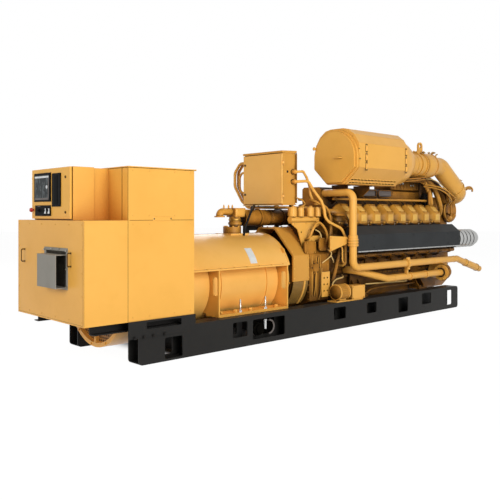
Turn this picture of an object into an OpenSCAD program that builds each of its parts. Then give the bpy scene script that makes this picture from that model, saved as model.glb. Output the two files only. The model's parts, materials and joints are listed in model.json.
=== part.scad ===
// Natural gas generator set on a two-rail skid: alternator and cabinets at -X,
// sixteen-cylinder engine at +X. Millimetres, +Z up.
// Origin: centre of the skid's footprint, on the floor.
// Stations along the machine are measured from the skid's alternator end.

/* [Skid] */
// Length of the skid rails
skid_len = 5300; // [5250:10:5600]
// Width over the skid rails
skid_w = 1260; // [1240:10:1340]
// Width of one rail
rail_w = 175; // [150:5:180]
// Height of one rail
rail_h = 298; // [280:2:360]
// Wall of the hollow rail
rail_wall = 14; // [8:1:20]
// Corner radius at the rail ends
rail_end_r = 38; // [20:1:60]
// Height of a cross member
cross_h = 150; // [100:5:160]

/* [Cabinets] */
// Height of the riser between rails and cabinets
riser_h = 92; // [80:1:120]
// Overhang of the riser past the rail end
riser_overhang = 110; // [80:5:160]
// Depth of the tall terminal cabinet along the machine
tall_l = 712; // [680:2:760]
// Height of the tall terminal cabinet
tall_h = 1326; // [1250:2:1400]
// Thickness of the tall cabinet's lid
lid_t = 10; // [4:1:16]
// Depth of the low cabinet along the machine
low_l = 417; // [380:1:480]
// Height of the low cabinet
low_h = 870; // [840:2:900]

/* [Control box] */
// Width of the control box
control_w = 742; // [700:2:780]
// Depth of the control box, door left out
control_d = 347; // [320:1:350]
// Height of the control box
control_h = 460; // [440:2:464]
// Sheet thickness of the control box
control_wall = 5; // [3:1:8]
// Thickness of the control box door
control_door_t = 22; // [16:1:30]
// Distance of the control box centre from the machine's centreline
control_y = 56; // [0:1:80]
// Travel of the emergency stop button
stop_travel = 5; // [3:1:6]

/* [Alternator] */
// Height of the shaft above the rails
shaft_rise = 294; // [280:1:330]
// Radius of the alternator's outer shell
shell_r = 508; // [490:1:512]
// Radius of the stator drum under the ledge
drum_r = 385; // [360:1:400]
// Height of the side ledge above the shaft
ledge_rise = 182; // [150:1:220]
// Set-in of the alternator's feet from the skid's outer edge
foot_inset = 102; // [90:1:110]

/* [Engine] */
// Cylinder spacing along a bank
pitch = 281; // [275:1:285]
// Cylinders in one bank
bank_n = 8; // [6:1:8]
// Half width over the side covers
cover_reach = 582; // [560:1:600]
// Bore of the big air cleaner's outlet duct
duct_r = 158; // [140:1:170]
// Radius of the cooling water pipes
water_r = 44; // [38:1:50]

/* [Air cleaner] */
// Half width of the air cleaner
cleaner_r = 331; // [300:1:350]
// Length of the air cleaner's straight body
cleaner_l = 1000; // [900:5:1040]

/* [Junction box] */
// Width of the junction box across the machine
jb_w = 630; // [580:5:660]
// Depth of the junction box along the machine
jb_d = 200; // [160:5:220]
// Height of the junction box
jb_h = 575; // [540:5:600]
// Sheet thickness of the junction box
jb_wall = 4; // [3:1:8]

/* [Hidden] */
$fn = 48;

// paint
yellow = "#e5a83c";
shade = "#b98432";
black = "#2b2b2b";
grey = "#8d8f90";
silver = "#b9bbbd";

fit = 0.3;                      // gap left where two curved faces would touch
bend_wall = 1;                  // a weld bend stands proud of its pipe by this
bend_socket = 3;                // and takes in this much of it
near = -1;                      // sign of the side with the side covers in view
far = 1;

deck = rail_h;                  // top of the rails
half_w = skid_w / 2;
foot_reach = half_w - foot_inset;  // half width over the alternator's feet and ledges
rail_in = half_w - rail_w;      // inner face of a rail
cab_z = deck + riser_h;         // underside of the cabinets
shaft_z = deck + shaft_rise;

tall_x = -riser_overhang;
low_x = tall_x - low_l;
low_top = cab_z + low_h;
box_z = low_top + 2;
box_top = box_z + control_h;
box_x = tall_x - control_d;     // front of the control box shell
door_gap = 3;
door_x = box_x - door_gap - control_door_t;
box_near = control_y - control_w / 2;
box_far = control_y + control_w / 2;
door_lift = 10;                 // door stands clear of the low cabinet by this
hinge_off = 11;                 // hinge pin to the side of its box
hinge_y = box_far + hinge_off;
box_hinges = [box_z + 60, box_top - 110];
hinge_r = 8;
pin_r = 4;
stop_y = control_y + control_w / 2 - 32;
stop_z = low_top + 92;

shell_x0 = -70;
shell_full = 600;               // full round shell up to here, inside the cabinet
shell_rim = 40;                 // rim round the end grille
hub_r = 130;                    // bearing hub in the middle of the grille
shell_x1 = 2040;
ledge_z = shaft_z + ledge_rise;
ledge_x = tall_x + tall_l;      // the ledges start at the tall cabinet
pad_z = shaft_z + shell_r + 2;  // flat pad on the shell that carries the fuel inlet
foot_t = 15;
foot_x = [985, 1945];

guard_top = 568;                // top of the coupling guard above the shaft
guard_x = 2150;
guard_l = 260;
guard_t = 8;                    // sheet of the guard
guard_lip = 20;
hous_x = guard_x + guard_l;
hous_l = 340;
block_x = hous_x + hous_l;
block_l = bank_n * pitch + 252;
front_x = block_x + block_l;
front_l = 350;
head_x = block_x + 190;         // station of the first head's rear face

// engine outline, heights measured from the shaft
hd = [[-440, 598], [-235, 716.4], [-165, 595.1], [-370, 476.8]];
cover_in = 400;                 // half width of the block behind the side covers
rail_foot = 262;                // underside of the cover rail
rail_t = 15;

plenum_x = 2920;
plenum_r = 150;

cleaner_x = 2940;
cleaner_y = -391;
cleaner_z = shaft_z + 1393;     // centre of the round top
cleaner_low = 130;
cleaner_base = 317;             // centre down to the flat bottom
cleaner_nose = 430;
cleaner_top = 345;              // centre up to the body's flat top
cap_l = 60;                     // rounded cap ahead of the body

eye_x = 4714;                   // station, hole and thickness of the lifting eye
eye_hole = 28;
eye_t = 24;
eye_base = duct_r + 13;         // axis of the duct up to the eye's base plate

inlet_x = 1620;                 // station of the fuel inlet's axis
fuel_r = 92;                    // fat pipe from the inlet to the plenum

jb_x = 2098;
jb_z = shaft_z + 833;
jb_door_t = 18;
gland_l = 36;
// glands of the junction box: station and height, on its near and its far side
near_glands = [[jb_x + 154, jb_z + 253], [jb_x + 154, jb_z + 364]];
far_glands = [[jb_x + 92, jb_z + 500], [jb_x + 147, jb_z + 500], [jb_x + 120, jb_z + 387], [jb_x + 120, jb_z + 145]];
gland_tip = jb_w / 2 - 1 + gland_l;
jb_hinges = [jb_z + 60, jb_z + jb_h - 140];

function unit(v) = v / norm(v);

// place a drawing made from the skid's alternator end
module on_skid() translate([-skid_len / 2, 0, 0]) children();

// extrude an outline given in (y, z) along x
module along_x(x, l) translate([x, 0, 0]) rotate([90, 0, 90]) linear_extrude(l) children();

// extrude an outline given in (x, z) along y
module along_y(y, l) translate([0, y + l, 0]) rotate([90, 0, 0]) linear_extrude(l) children();

// box given by its low corner and size
module slab(p, s) translate(p) cube(s);

// rectangle with round corners, drawn from its low corner
module round_rect(w, h, r) {
    translate([r, 0]) square([w - 2 * r, h]);
    translate([0, r]) square([w, h - 2 * r]);
    for (x = [r, w - r], y = [r, h - r]) translate([x, y]) circle(r);
}

// straight round bar from p to q
module bar(p, q, r) {
    v = q - p;
    l = norm(v);
    tilt = acos(v.z / l);
    turn = atan2(v.y, v.x);
    translate(p) rotate([0, tilt, turn]) cylinder(h = l, r = r);
}

// quarter or part bend that leaves direction a for direction b at corner p
module bend(p, a, b, r, br) {
    angle = acos(a * b);
    t = br * tan(angle / 2);
    inward = unit(cross(cross(a, b), a));
    c = p - a * t + inward * br;
    n = cross(a, inward);
    multmatrix([[-inward.x, a.x, n.x, c.x], [-inward.y, a.y, n.y, c.y], [-inward.z, a.z, n.z, c.z]])
        rotate_extrude(angle = angle) translate([br, 0]) circle(r);
}

// round pipe through points, with weld bends at the inner ones, of radius br, or of a list of radii:
// a bend is a little thicker than the pipe, which runs into it by its socket
module pipe(pts, r, br) {
    last = len(pts) - 1;
    radii = [for (i = [0 : last]) is_list(br) ? br[max(i - 1, 0)] : br];
    dirs = [for (i = [0 : last - 1]) unit(pts[i + 1] - pts[i])];
    cut = [for (i = [0 : last])
        i == 0 || i == last ? 0 : radii[i] * tan(acos(dirs[i - 1] * dirs[i]) / 2) - bend_socket];
    for (i = [0 : last - 1])
        bar(pts[i] + dirs[i] * cut[i], pts[i + 1] - dirs[i] * cut[i + 1], r);
    if (last > 1) for (i = [1 : last - 1])
        bend(pts[i], dirs[i - 1], dirs[i], r + bend_wall, radii[i]);
}

// disc centred on p, facing d
module disc(p, d, r, t) bar(p - unit(d) * t / 2, p + unit(d) * t / 2, r);

/* ---- skid ---- */

// windows cut in the rail webs: station, length, height of the sill, height
windows = [
    [273, 200, 20, 190], [1080, 192, 100, 150], [1346, 460, 53, 198], [2602, 214, 111, 137],
    [3212, 189, 121, 127], [3862, 210, 65, 186], [4396, 217, 118, 145], [4992, 158, 54, 201]
];

module rail(side) {
    y0 = side == near ? -half_w : rail_in;
    difference() {
        translate([0, y0 + rail_w, 0]) rotate([90, 0, 0])
            linear_extrude(rail_w) round_rect(skid_len, rail_h, rail_end_r);
        slab([-1, y0 + rail_wall, rail_wall], [skid_len + 2, rail_w - 2 * rail_wall, rail_h - 2 * rail_wall]);
        for (w = windows)
            translate([w[0], y0 + rail_w + 1, w[2]]) rotate([90, 0, 0])
                linear_extrude(rail_w + 2) round_rect(w[1], w[3], 18);
    }
}

module skid_rail_near() color(black) on_skid() rail(near);
module skid_rail_far() color(black) on_skid() rail(far);

cross_x = [640, 1880, skid_len / 2 - 35, 3500, 4200, 4800];   // the middle one holds the origin

module skid_crossmembers() color(black) on_skid()
    for (x = cross_x) translate([x, rail_in, 0]) rotate([90, 0, 0])
        linear_extrude(2 * rail_in) difference() {
            square([70, cross_h]);
            translate([10, 10]) square([61, cross_h - 20]);
        }

module riser(side) {
    t = 10;
    y0 = side == near ? -half_w - t : half_w;
    difference() {
        slab([tall_x, y0, deck - 58], [tall_l + 8, t, riser_h + 58 - t]);
        translate([72, y0 + t + 1, deck + 14]) rotate([90, 0, 0])
            linear_extrude(t + 2) round_rect(378, 60, 10);
    }
    slab([tall_x, side == near ? y0 : y0 + t - 62, cab_z - t], [tall_l + 8, 62, t]);
    for (x = [-40, 56, 155, 273])
        translate([x, side == near ? y0 : y0 + t + 9, deck - 52 + 1]) rotate([90, 0, 0])
            cylinder(h = 9, r = 13, $fn = 6);
}

module cabinet_risers() color(black) on_skid() {
    riser(near);
    riser(far);
}

beam_x = low_x + 130;

module cabinet_beams() color(black) on_skid()
    for (s = [near, far])
        along_x(beam_x, -beam_x + 590)
            translate([s * (half_w - 108) - 42, deck]) difference() {
                square([84, riser_h]);
                translate([s == near ? -1 : 9, 9]) square([76, riser_h - 18]);
            }

/* ---- cabinets ---- */

module low_cabinet() color(yellow) on_skid() difference() {
    slab([low_x, -half_w, cab_z], [low_l, skid_w, low_h]);
    // pocket behind the cable hood
    slab([low_x - 1, -335, cab_z + 310], [91, 370, 300]);
    // shadow gap round the end cover
    for (y = [-half_w + 14, half_w - 17])
        slab([low_x - 1, y, cab_z + 12], [5, 3, low_h - 24]);
    slab([low_x - 1, -half_w + 14, cab_z + 12], [5, skid_w - 28, 3]);
}

module tall_cabinet() color(yellow) on_skid() difference() {
    slab([tall_x, -half_w, cab_z], [tall_l, skid_w, tall_h]);
    along_x(tall_x - 1, tall_l + 2) translate([0, shaft_z]) circle(shell_r + 4);
    // seam across the long sides
    for (y = [-half_w - 1, half_w - 2])
        slab([tall_x + 10, y, low_top], [tall_l - 20, 3, 3]);
    // corner post seam on the end strip
    slab([tall_x - 1, -half_w + 90, low_top + 1], [4, 4, tall_h]);
}

module tall_cabinet_lid() color(yellow) on_skid()
    slab([tall_x, -half_w - 3, cab_z + tall_h], [tall_l + 25, skid_w + 6, lid_t]);

hood_y0 = -363;
hood_w = 433;

module cable_hood() color(grey) on_skid() {
    t = 5;
    // frame on the cabinet
    difference() {
        slab([low_x - t, hood_y0, cab_z + 286], [t, hood_w, 350]);
        slab([low_x - t - 1, -335, cab_z + 310], [t + 2, 370, 300]);
    }
    // cover that stands off the frame, open at both sides
    slab([low_x - 100, -338, cab_z + 305], [t, 348, 272]);
    slab([low_x - 100, -338, cab_z + 300], [100 - t, 348, t]);
    slab([low_x - 100, -338, cab_z + 577], [100 - t, 348, t]);
}

module cabinet_handles() color(yellow) on_skid()
    for (y = [-415, 483]) {
        z0 = cab_z + 486;
        pipe([[low_x, y, z0], [low_x - 34, y, z0], [low_x - 34, y, z0 + 112], [low_x, y, z0 + 112]], 5, 12);
    }

/* ---- control box ---- */

module control_box() color(yellow) on_skid() {
    step = 202;                 // the box narrows behind this depth
    in = 6;
    w = control_wall;
    difference() {
        union() {
            slab([box_x, box_near, box_z], [step, control_w, control_h]);
            slab([box_x + step - 1, box_near + in, box_z], [control_d - step + 1, control_w - 2 * in, control_h - in]);
        }
        slab([box_x - 1, box_near + w + in, box_z + w], [control_d - w + 1, control_w - 2 * (w + in), control_h - 2 * w - in]);
    }
    slab([tall_x - control_d + 10, box_near + 30, low_top], [control_d - 40, control_w - 60, box_z - low_top]);
    for (z = box_hinges) translate([box_x, hinge_y, z]) hinge_fixed();
}

// Hinge of a sheet box whose side lies hinge_off towards -y from the pin.
// Fixed half: two knuckles, their leaves and the pin.
module hinge_fixed() {
    for (z = [0, 42]) {
        translate([0, 0, z]) cylinder(h = 18, r = hinge_r);
        slab([0, -hinge_off, z], [30, 4, 18]);
    }
    translate([0, 0, 17]) cylinder(h = 26, r = pin_r);
}

// moving half: one knuckle between the fixed ones, on a leaf round the door's edge
module hinge_moving(door_t) {
    translate([0, 0, 20]) cylinder(h = 20, r = hinge_r);
    slab([-door_gap - door_t, -hinge_off - 1, 20], [door_t, 5, 20]);
    slab([-door_gap - door_t + 6, 3 - hinge_off, 20], [door_t - 5, 7, 20]);
}

module pin_hole() translate([0, 0, 15]) cylinder(h = 30, r = pin_r + fit);

module control_door() color(yellow) on_skid() difference() {
    union() {
        slab([door_x, box_near, box_z + door_lift], [control_door_t, control_w, control_h - door_lift - 2]);
        for (z = box_hinges) translate([box_x, hinge_y, z]) hinge_moving(control_door_t);
    }
    for (z = box_hinges) translate([box_x, hinge_y, z]) pin_hole();
    // hole for the stop button's stem
    translate([door_x - 1, stop_y, stop_z]) rotate([0, 90, 0]) cylinder(h = control_door_t + 2, r = 8 + fit);
}

// panel on the door: near and far edge, foot and head
module panel(y0, y1, z0, z1, t) slab([door_x - t, y0, z0], [t, y1 - y0, z1 - z0]);

module controller_display() color(black) on_skid() difference() {
    panel(39, 363, low_top + 166, low_top + 424, 9);
    slab([door_x - 10, 39 + 22, low_top + 200], [4, 280, 190]);
}

module alarm_panel() color(black) on_skid() panel(-151, 10, low_top + 120, low_top + 413, 7);

plate_t = 6;
knob_y = 269;
knob_z = low_top + 87;
knob_stem_r = 6;

module switch_plate() color(black) on_skid() difference() {
    union() {
        panel(39, 353, low_top + 37, low_top + 133, plate_t);
        for (y = [59, 126]) slab([door_x - plate_t - 8, y - 17, low_top + 56], [9, 34, 52]);
    }
    translate([door_x - plate_t - 1, knob_y, knob_z]) rotate([0, 90, 0]) cylinder(h = plate_t + 2, r = knob_stem_r + fit);
}

module selector_knob() color(black) on_skid() translate([door_x, knob_y, knob_z]) rotate([0, 90, 0]) {
    translate([0, 0, -plate_t - 12]) cylinder(h = 11, r = 17);
    translate([-4, -17, -plate_t - 26]) cube([8, 34, 15]);
    translate([0, 0, -plate_t - 2]) cylinder(h = plate_t + 1, r = knob_stem_r);
}

module emergency_stop() color("#b3231c") on_skid() translate([door_x, stop_y, stop_z]) rotate([0, 90, 0]) {
    translate([0, 0, -34]) cylinder(h = 16, r1 = 17, r2 = 21);
    translate([0, 0, -19]) cylinder(h = 19 + control_door_t + 4, r = 8);
    translate([0, 0, control_door_t + fit]) cylinder(h = 4 - fit, r = 12);
}

/* ---- alternator ---- */

module alternator_body() color(yellow) on_skid() {
    difference() {
        union() {
            along_x(shell_x0, shell_full - shell_x0) translate([0, shaft_z]) circle(shell_r, $fn = 96);
            along_x(shell_full - 1, shell_x1 - shell_full + 1) intersection() {
                translate([0, shaft_z]) circle(shell_r, $fn = 96);
                translate([-foot_reach, ledge_z - 15]) square([2 * foot_reach, shell_r]);
            }
            // ledge along both sides, from the cabinet to the second foot
            slab([ledge_x, -foot_reach, ledge_z - 15], [foot_x[1] + foot_t - ledge_x, 2 * foot_reach, 15]);
            along_x(shell_full - 1, shell_x1 - shell_full + 1) translate([0, shaft_z]) circle(drum_r, $fn = 96);
            // bands where the stator core starts and ends
            for (x = [foot_x[0] + 150, foot_x[1] - 170])
                along_x(x, 20) translate([0, shaft_z]) circle(drum_r + 12, $fn = 96);
        }
        // air grille recess in the end, round the bearing hub
        along_x(shell_x0 - 1, 41) translate([0, shaft_z]) difference() {
            circle(shell_r - shell_rim);
            circle(hub_r);
            for (a = [0 : 45 : 135]) rotate(a) square([2 * shell_r, 24], center = true);
        }
    }
    slab([inlet_x - 130, -130, shaft_z + shell_r - 24], [260, 260, pad_z - shaft_z - shell_r + 24]);
    // end bell up to the coupling
    along_x(shell_x1 - 1, guard_x - shell_x1 + 1) translate([0, shaft_z]) circle(360);
}

module alternator_feet() color(yellow) on_skid() for (s = [near, far]) difference() {
    union() {
        for (x = foot_x)
            slab([x, s == near ? -foot_reach : 0, deck + 24], [foot_t, foot_reach, ledge_z - 15 - deck - 24]);
        slab([foot_x[0], s == near ? -foot_reach : foot_reach - 200, deck], [foot_x[1] + foot_t - foot_x[0], 200, 24]);
    }
    along_x(foot_x[0] - 1, foot_x[1] - foot_x[0] + 60) translate([0, shaft_z]) circle(drum_r + fit, $fn = 96);
    slab([foot_x[0] - 1, -250, deck - 1], [foot_x[1] - foot_x[0] + 60, 500, 200]);
    // slot with round ends in each gusset
    for (x = foot_x) translate([x - 1, s * (foot_reach - 54) - 33, shaft_z - 85]) rotate([90, 0, 90])
        linear_extrude(foot_t + 2) round_rect(66, 185, 20);
}

/* ---- coupling and flywheel ---- */

module guard_outline(o) polygon([
    [-425 - o, 560], [-425 - o, 850 + o * 0.41], [-130 - o * 0.41, 1160 + o], [130 + o * 0.41, 1160 + o],
    [425 + o, 850 + o * 0.41], [425 + o, 560]
]);

module coupling_guard() color(yellow) on_skid() translate([0, 0, shaft_z - 592]) {
    along_x(guard_x, guard_l) difference() {
        guard_outline(0);
        translate([0, -1]) guard_outline(-guard_t);
    }
    // folded lip at each end
    for (x = [guard_x, guard_x + guard_l - guard_t]) along_x(x, guard_t) difference() {
        guard_outline(0);
        translate([0, -1]) guard_outline(-guard_lip);
    }
}

module flywheel_housing() color(shade) on_skid() {
    bell_x = guard_x + 4;
    bell_l = hous_x - bell_x + 1;
    along_x(bell_x, bell_l) translate([0, shaft_z]) circle(395);
    along_x(hous_x, hous_l) translate([0, shaft_z]) housing_outline();
    // cooling ribs along the bell, below the guard
    for (side = [0, 180], a = [10 : 9 : 46]) translate([0, 0, shaft_z])
        rotate([side == 0 ? -a : 180 + a, 0, 0]) slab([bell_x + 30, 390, -5], [bell_l - 32, 32, 10]);
    // stiffening rim where the housing meets the bell
    along_x(hous_x - 12, 13) translate([0, shaft_z]) circle(403);
}

module housing_outline() polygon([
    [-430, -270], [-430, 260], [-140, guard_top], [140, guard_top], [430, 260], [430, -270], [300, -330], [-300, -330]
]);

/* ---- engine ---- */

module engine_block() color(shade) on_skid() along_x(block_x, block_l) translate([0, shaft_z]) polygon([
    [-300, -32], [-330, 28], [-330, rail_foot - 40], [-cover_in, rail_foot], [-cover_in, 410], hd[3], hd[2], [-110, 538],
    [110, 538], [165, 595.1], [370, 476.8], [cover_in, 410], [cover_in, rail_foot], [330, rail_foot - 40], [330, 28], [300, -32]
]);

module oil_pan() color(shade) on_skid() along_x(block_x, block_l) translate([0, shaft_z]) polygon([
    [-300, -32], [-300, -300], [-230, -395], [230, -395], [300, -300], [300, -32]
]);

module engine_feet() color(shade) on_skid() for (s = [near, far], x = [block_x + 490, front_x - 700]) {
    reach = half_w - 140;
    wall = 330;                 // side of the block above the pan
    slab([x, s == near ? -reach : wall + 1, deck], [180, reach - wall - 1, 22]);
    slab([x, s == near ? -wall - 20 : wall, deck + 22], [180, 20, shaft_z + 200 - deck - 22]);
    for (dx = [20, 145]) translate([x + dx, 0, deck + 22]) rotate([90, 0, 90]) linear_extrude(15)
        polygon([[s * (wall + 20), 0], [s * (reach - 10), 0], [s * (wall + 20), 190]]);
}

module front_outline() polygon([
    [-290, -240], [-300, 0], [-300, 440], [-220, 560], [220, 560], [300, 440], [300, 0], [290, -240],
    [200, -340], [-200, -340]
]);

module front_housing() color(shade) on_skid() along_x(front_x, front_l) translate([0, shaft_z]) front_outline();

module crank_damper() color(shade) on_skid() translate([front_x + front_l, 0, shaft_z]) rotate([0, 90, 0]) {
    cylinder(h = 30, r = 120);
    translate([0, 0, 29]) cylinder(h = 70, r = 235);
    translate([0, 0, 98]) cylinder(h = 26, r = 90);
}

module bank(side) for (i = [0 : bank_n - 1])
    along_x(head_x + i * pitch, pitch - 11) translate([0, shaft_z])
        if (side == near) children(); else mirror([1, 0]) children();

module cylinder_heads() color(shade) on_skid() for (s = [near, far]) bank(s) polygon(hd);

module cover_outline() polygon([hd[0], [-440, 733], [-325, 853], [-235, 801], hd[1]]);
module valve_covers_near() color(yellow) on_skid() bank(near) cover_outline();
module valve_covers_far() color(yellow) on_skid() bank(far) cover_outline();

cover_foot = rail_foot + rail_t;
side_x = block_x + 352;
side_l = bank_n * pitch + 103;

module side_cover(side) along_x(side_x, side_l) translate([0, shaft_z]) scale([side, 1]) mirror([1, 0])
    polygon([
        [-cover_reach, cover_foot], [-cover_reach, 471], [-454, 575], [-425, 551], [-cover_in, 503], [-cover_in, cover_foot]
    ]);
module side_cover_near() color(black) on_skid() side_cover(near);
module side_cover_far() color(black) on_skid() side_cover(far);

module cover_rails() color(silver) on_skid() for (s = [near, far])
    slab([side_x, s == near ? -cover_reach - 3 : cover_in, shaft_z + rail_foot], [side_l, cover_reach + 3 - cover_in, rail_t]);

ribbed_r = 132;                 // the two ducts turn in and meet on the centreline
pleat_n = 5;
pleat_step = 98;
pleat_in = 16;                  // depth of a pleat

module ribbed_duct(side) {
    x0 = side_x + side_l;
    y = side * (cover_reach - ribbed_r - 6);
    z = shaft_z + 363;
    pipe([[x0, y, z], [x0 + 690, y, z], [x0 + 690, 0, z]], ribbed_r - pleat_in - 3, 200);
    // pleated sleeve: the radius follows a cosine along the duct
    translate([x0, y, z]) rotate([0, 90, 0]) rotate_extrude() polygon(concat([[0, 0]],
        [for (i = [0 : 8 * pleat_n])
            [ribbed_r - pleat_in / 2 * (1 - cos(45 * i)), i * pleat_step / 8]],
        [[0, pleat_n * pleat_step]]));
}

module ribbed_duct_near() color(silver) on_skid() ribbed_duct(near);
module ribbed_duct_far() color(silver) on_skid() ribbed_duct(far);

module intake_plenum() color(shade) on_skid() along_x(plenum_x, block_x + block_l - 150 - plenum_x)
    translate([0, shaft_z]) polygon([
        [-100, 538], [100, 538], [plenum_r, 660], [plenum_r, 1025], [120, 1050], [-120, 1050], [-plenum_r, 1025],
        [-plenum_r, 660]
    ]);

/* ---- air cleaner and intake ---- */

module cleaner_outline(r, low, base) {
    intersection() {
        circle(r, $fn = 96);
        translate([-r, 0]) square([2 * r, r]);
    }
    polygon([[-r, 0], [r, 0], [r, -low], [r - 193, -base], [193 - r, -base], [-r, -low]]);
}

module cleaner_body_outline() polygon([
    [-cleaner_r, -cleaner_low], [-cleaner_r, 158], [-cleaner_r + 66, 262], [-176, 328], [-96, cleaner_top],
    [96, cleaner_top], [176, 328], [cleaner_r - 66, 262], [cleaner_r, 158], [cleaner_r, -cleaner_low],
    [cleaner_r - 193, -cleaner_base], [193 - cleaner_r, -cleaner_base]
]);

// shoulder of the air cleaner: distance behind the body, radius
shoulder = [[-1, 316], [60, 314], [130, 305], [200, 286], [270, 256], [330, 222], [380, 188], [410, duct_r - 2],
    [cleaner_nose, duct_r - 2]];

module air_cleaner() color(yellow) on_skid() translate([cleaner_x, cleaner_y, cleaner_z]) {
    along_x(0, cleaner_l) cleaner_body_outline();
    // cap, in two steps towards the front, and the seam band behind it
    along_x(-cap_l + 30, cap_l - 29) cleaner_outline(cleaner_r - 4, cleaner_low, cleaner_base - 2);
    along_x(-cap_l, 31) cleaner_outline(cleaner_r - 26, cleaner_low - 6, cleaner_base - 18);
    along_x(0, 24) cleaner_outline(cleaner_r + 6, cleaner_low, cleaner_base + 4);
    translate([cleaner_l, 0, 0]) rotate([0, 90, 0]) rotate_extrude($fn = 96)
        polygon(concat([[0, -1]], [for (k = shoulder) [k[1], k[0]]], [[0, cleaner_nose]]));
}

cleaner_out = cleaner_x + cleaner_l + cleaner_nose;

module cleaner_supports() color(shade) on_skid() for (x = [cleaner_x + 190, cleaner_x + 620]) {
    top = cleaner_z - cleaner_base;
    slab([x, -400, top - 12], [60, 400 - plenum_r, 12]);
    along_x(x, 12) polygon([[-plenum_r, shaft_z + 840], [-plenum_r, top - 12], [-400, top - 12], [-400, top - 50]]);
}

// air duct: along the machine, down past the engine's end, then inwards
duct_dip = [5810, 988];         // station and height above the shaft of the last bend
duct_in = -200;                 // where the duct meets the compressor
hump_x = 4700;                  // start of the humped hose
reducer_x = 4950;               // the duct gets narrower ahead of its elbow
reducer_l = 140;
elbow_r = 128;
elbow_path = [
    [reducer_x + reducer_l - 2, cleaner_y, cleaner_z], [5215, cleaner_y, cleaner_z],
    [duct_dip[0], cleaner_y, shaft_z + duct_dip[1]], [duct_dip[0], duct_in, shaft_z + duct_dip[1]]
];

module intake_duct() color(yellow) on_skid() {
    bar([cleaner_out, cleaner_y, cleaner_z], [reducer_x + 1, cleaner_y, cleaner_z], duct_r - 6);
    translate([reducer_x, cleaner_y, cleaner_z]) rotate([0, 90, 0])
        cylinder(h = reducer_l, r1 = duct_r - 6, r2 = elbow_r);
    pipe(elbow_path, elbow_r, 170);
    // flanges of the straight duct, then the humped hose
    for (x = [4560, 4680]) disc([x, cleaner_y, cleaner_z], [1, 0, 0], duct_r + 6, 16);
    translate([hump_x, cleaner_y, cleaner_z]) rotate([0, 90, 0]) rotate_extrude()
        polygon([[0, 0], [duct_r, 0], [duct_r, 32], [duct_r + 5, 50], [duct_r + 8, 90], [duct_r + 9, 125],
            [duct_r + 8, 160], [duct_r + 5, 200], [duct_r, 218], [duct_r, 250], [0, 250]]);
}

module duct_clamps() color(silver) on_skid() for (x = [hump_x + 17, hump_x + 233]) difference() {
    disc([x, cleaner_y, cleaner_z], [1, 0, 0], duct_r + 8, 20);
    disc([x, cleaner_y, cleaner_z], [1, 0, 0], duct_r + fit, 24);
}

module turbocharger() color(shade) on_skid() {
    x = duct_dip[0];
    z = shaft_z + duct_dip[1];
    volute = [x + 34, duct_in, shaft_z + 768];
    // compressor inlet, volute below it, and the housing behind
    translate([x, duct_in, z]) rotate([-90, 0, 0]) cylinder(h = 110, r = elbow_r + 8);
    translate(volute) rotate([-90, 0, 0]) cylinder(h = 130, r = 160);
    translate(volute + [0, 129, 0]) rotate([-90, 0, 0]) cylinder(h = 120, r1 = 140, r2 = 90);
    slab([x - 90, duct_in + 1, volute.z], [180, 100, z - volute.z]);
    // bracket to the top of the front housing
    slab([front_x + 60, -140, shaft_z + 560], [volute.x - front_x - 60, 90, 160]);
    // valve link beside the duct, held off the volute by a stub
    bar([5685, -300, 1258], [5685, -300, 1500], 14);
    bar([5685, -296, 1290], [5740, duct_in + 2, 1320], 14);
}

/* ---- cooling water ---- */

wp_y = -600;
wp_x = 2985;
pump_x = 4960;                  // station of the water pump's inlet flange
lower_y = -570;
lower_z = shaft_z - 88;
coupling_x = 4095;              // station of the upper pipe's coupling and its hanger

module water_pipe_upper() color(yellow) on_skid() {
    pipe([
        [wp_x, -plenum_r, shaft_z + 976], [wp_x, wp_y, shaft_z + 976], [wp_x, wp_y, shaft_z + 86],
        [5330, wp_y, shaft_z + 86], [5960, wp_y, shaft_z - 90]
    ], water_r, 90);
    for (x = [coupling_x - 35, coupling_x, coupling_x + 35])
        disc([x, wp_y, shaft_z + 86], [1, 0, 0], water_r + 7, 16);
}

module water_pipe_lower() color(yellow) on_skid() {
    pipe([
        [3160, -330, shaft_z + 40], [3160, -480, shaft_z + 40], [3700, lower_y, lower_z], [pump_x, lower_y, lower_z]
    ], water_r, 90);
    for (x = [4197, 4563]) disc([x, lower_y, lower_z], [1, 0, 0], water_r + 8, 20);
}

module water_pump() color(yellow) on_skid() translate([pump_x, lower_y, lower_z]) {
    rotate([0, 90, 0]) {
        cylinder(h = 20, r = 110);
        translate([0, 0, 19]) cylinder(h = 60, r1 = 86, r2 = 70);
    }
    translate([155, 0, 0]) rotate([-90, 0, 0]) cylinder(h = -330 - lower_y, r = 98);
    // outlet up to the inclined return
    translate([155, 60, 0]) cylinder(h = 150, r = 52);
}

module pipe_bracket() color(yellow) on_skid() translate([0, 0, shaft_z]) {
    // plate beside the pipe
    translate([2632, -540, 0]) rotate([90, 0, 0]) linear_extrude(10)
        polygon([[0, 290], [0, 470], [360, 450], [360, 400], [300, 370]]);
    // web back to the block
    slab([block_x + 10, -541, 330], [12, 541 - cover_in, 120]);
    // collar round the pipe, with three ridges
    translate([wp_x, wp_y, 340]) difference() {
        union() {
            cylinder(h = 130, r = water_r + 12);
            for (z = [8, 40, 72]) translate([0, 0, z]) cylinder(h = 16, r = water_r + 20);
        }
        translate([0, 0, -1]) cylinder(h = 132, r = water_r + fit);
    }
    // hanger between the upper and the lower run
    difference() {
        slab([coupling_x - 12, wp_y - 12, lower_z - shaft_z], [24, 40, 174]);
        disc([coupling_x, wp_y, 86], [1, 0, 0], water_r + 7 + fit, 60);
        disc([coupling_x, lower_y, lower_z - shaft_z], [1, 0, 0], water_r + fit, 60);
    }
}

/* ---- junction box ---- */

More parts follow.
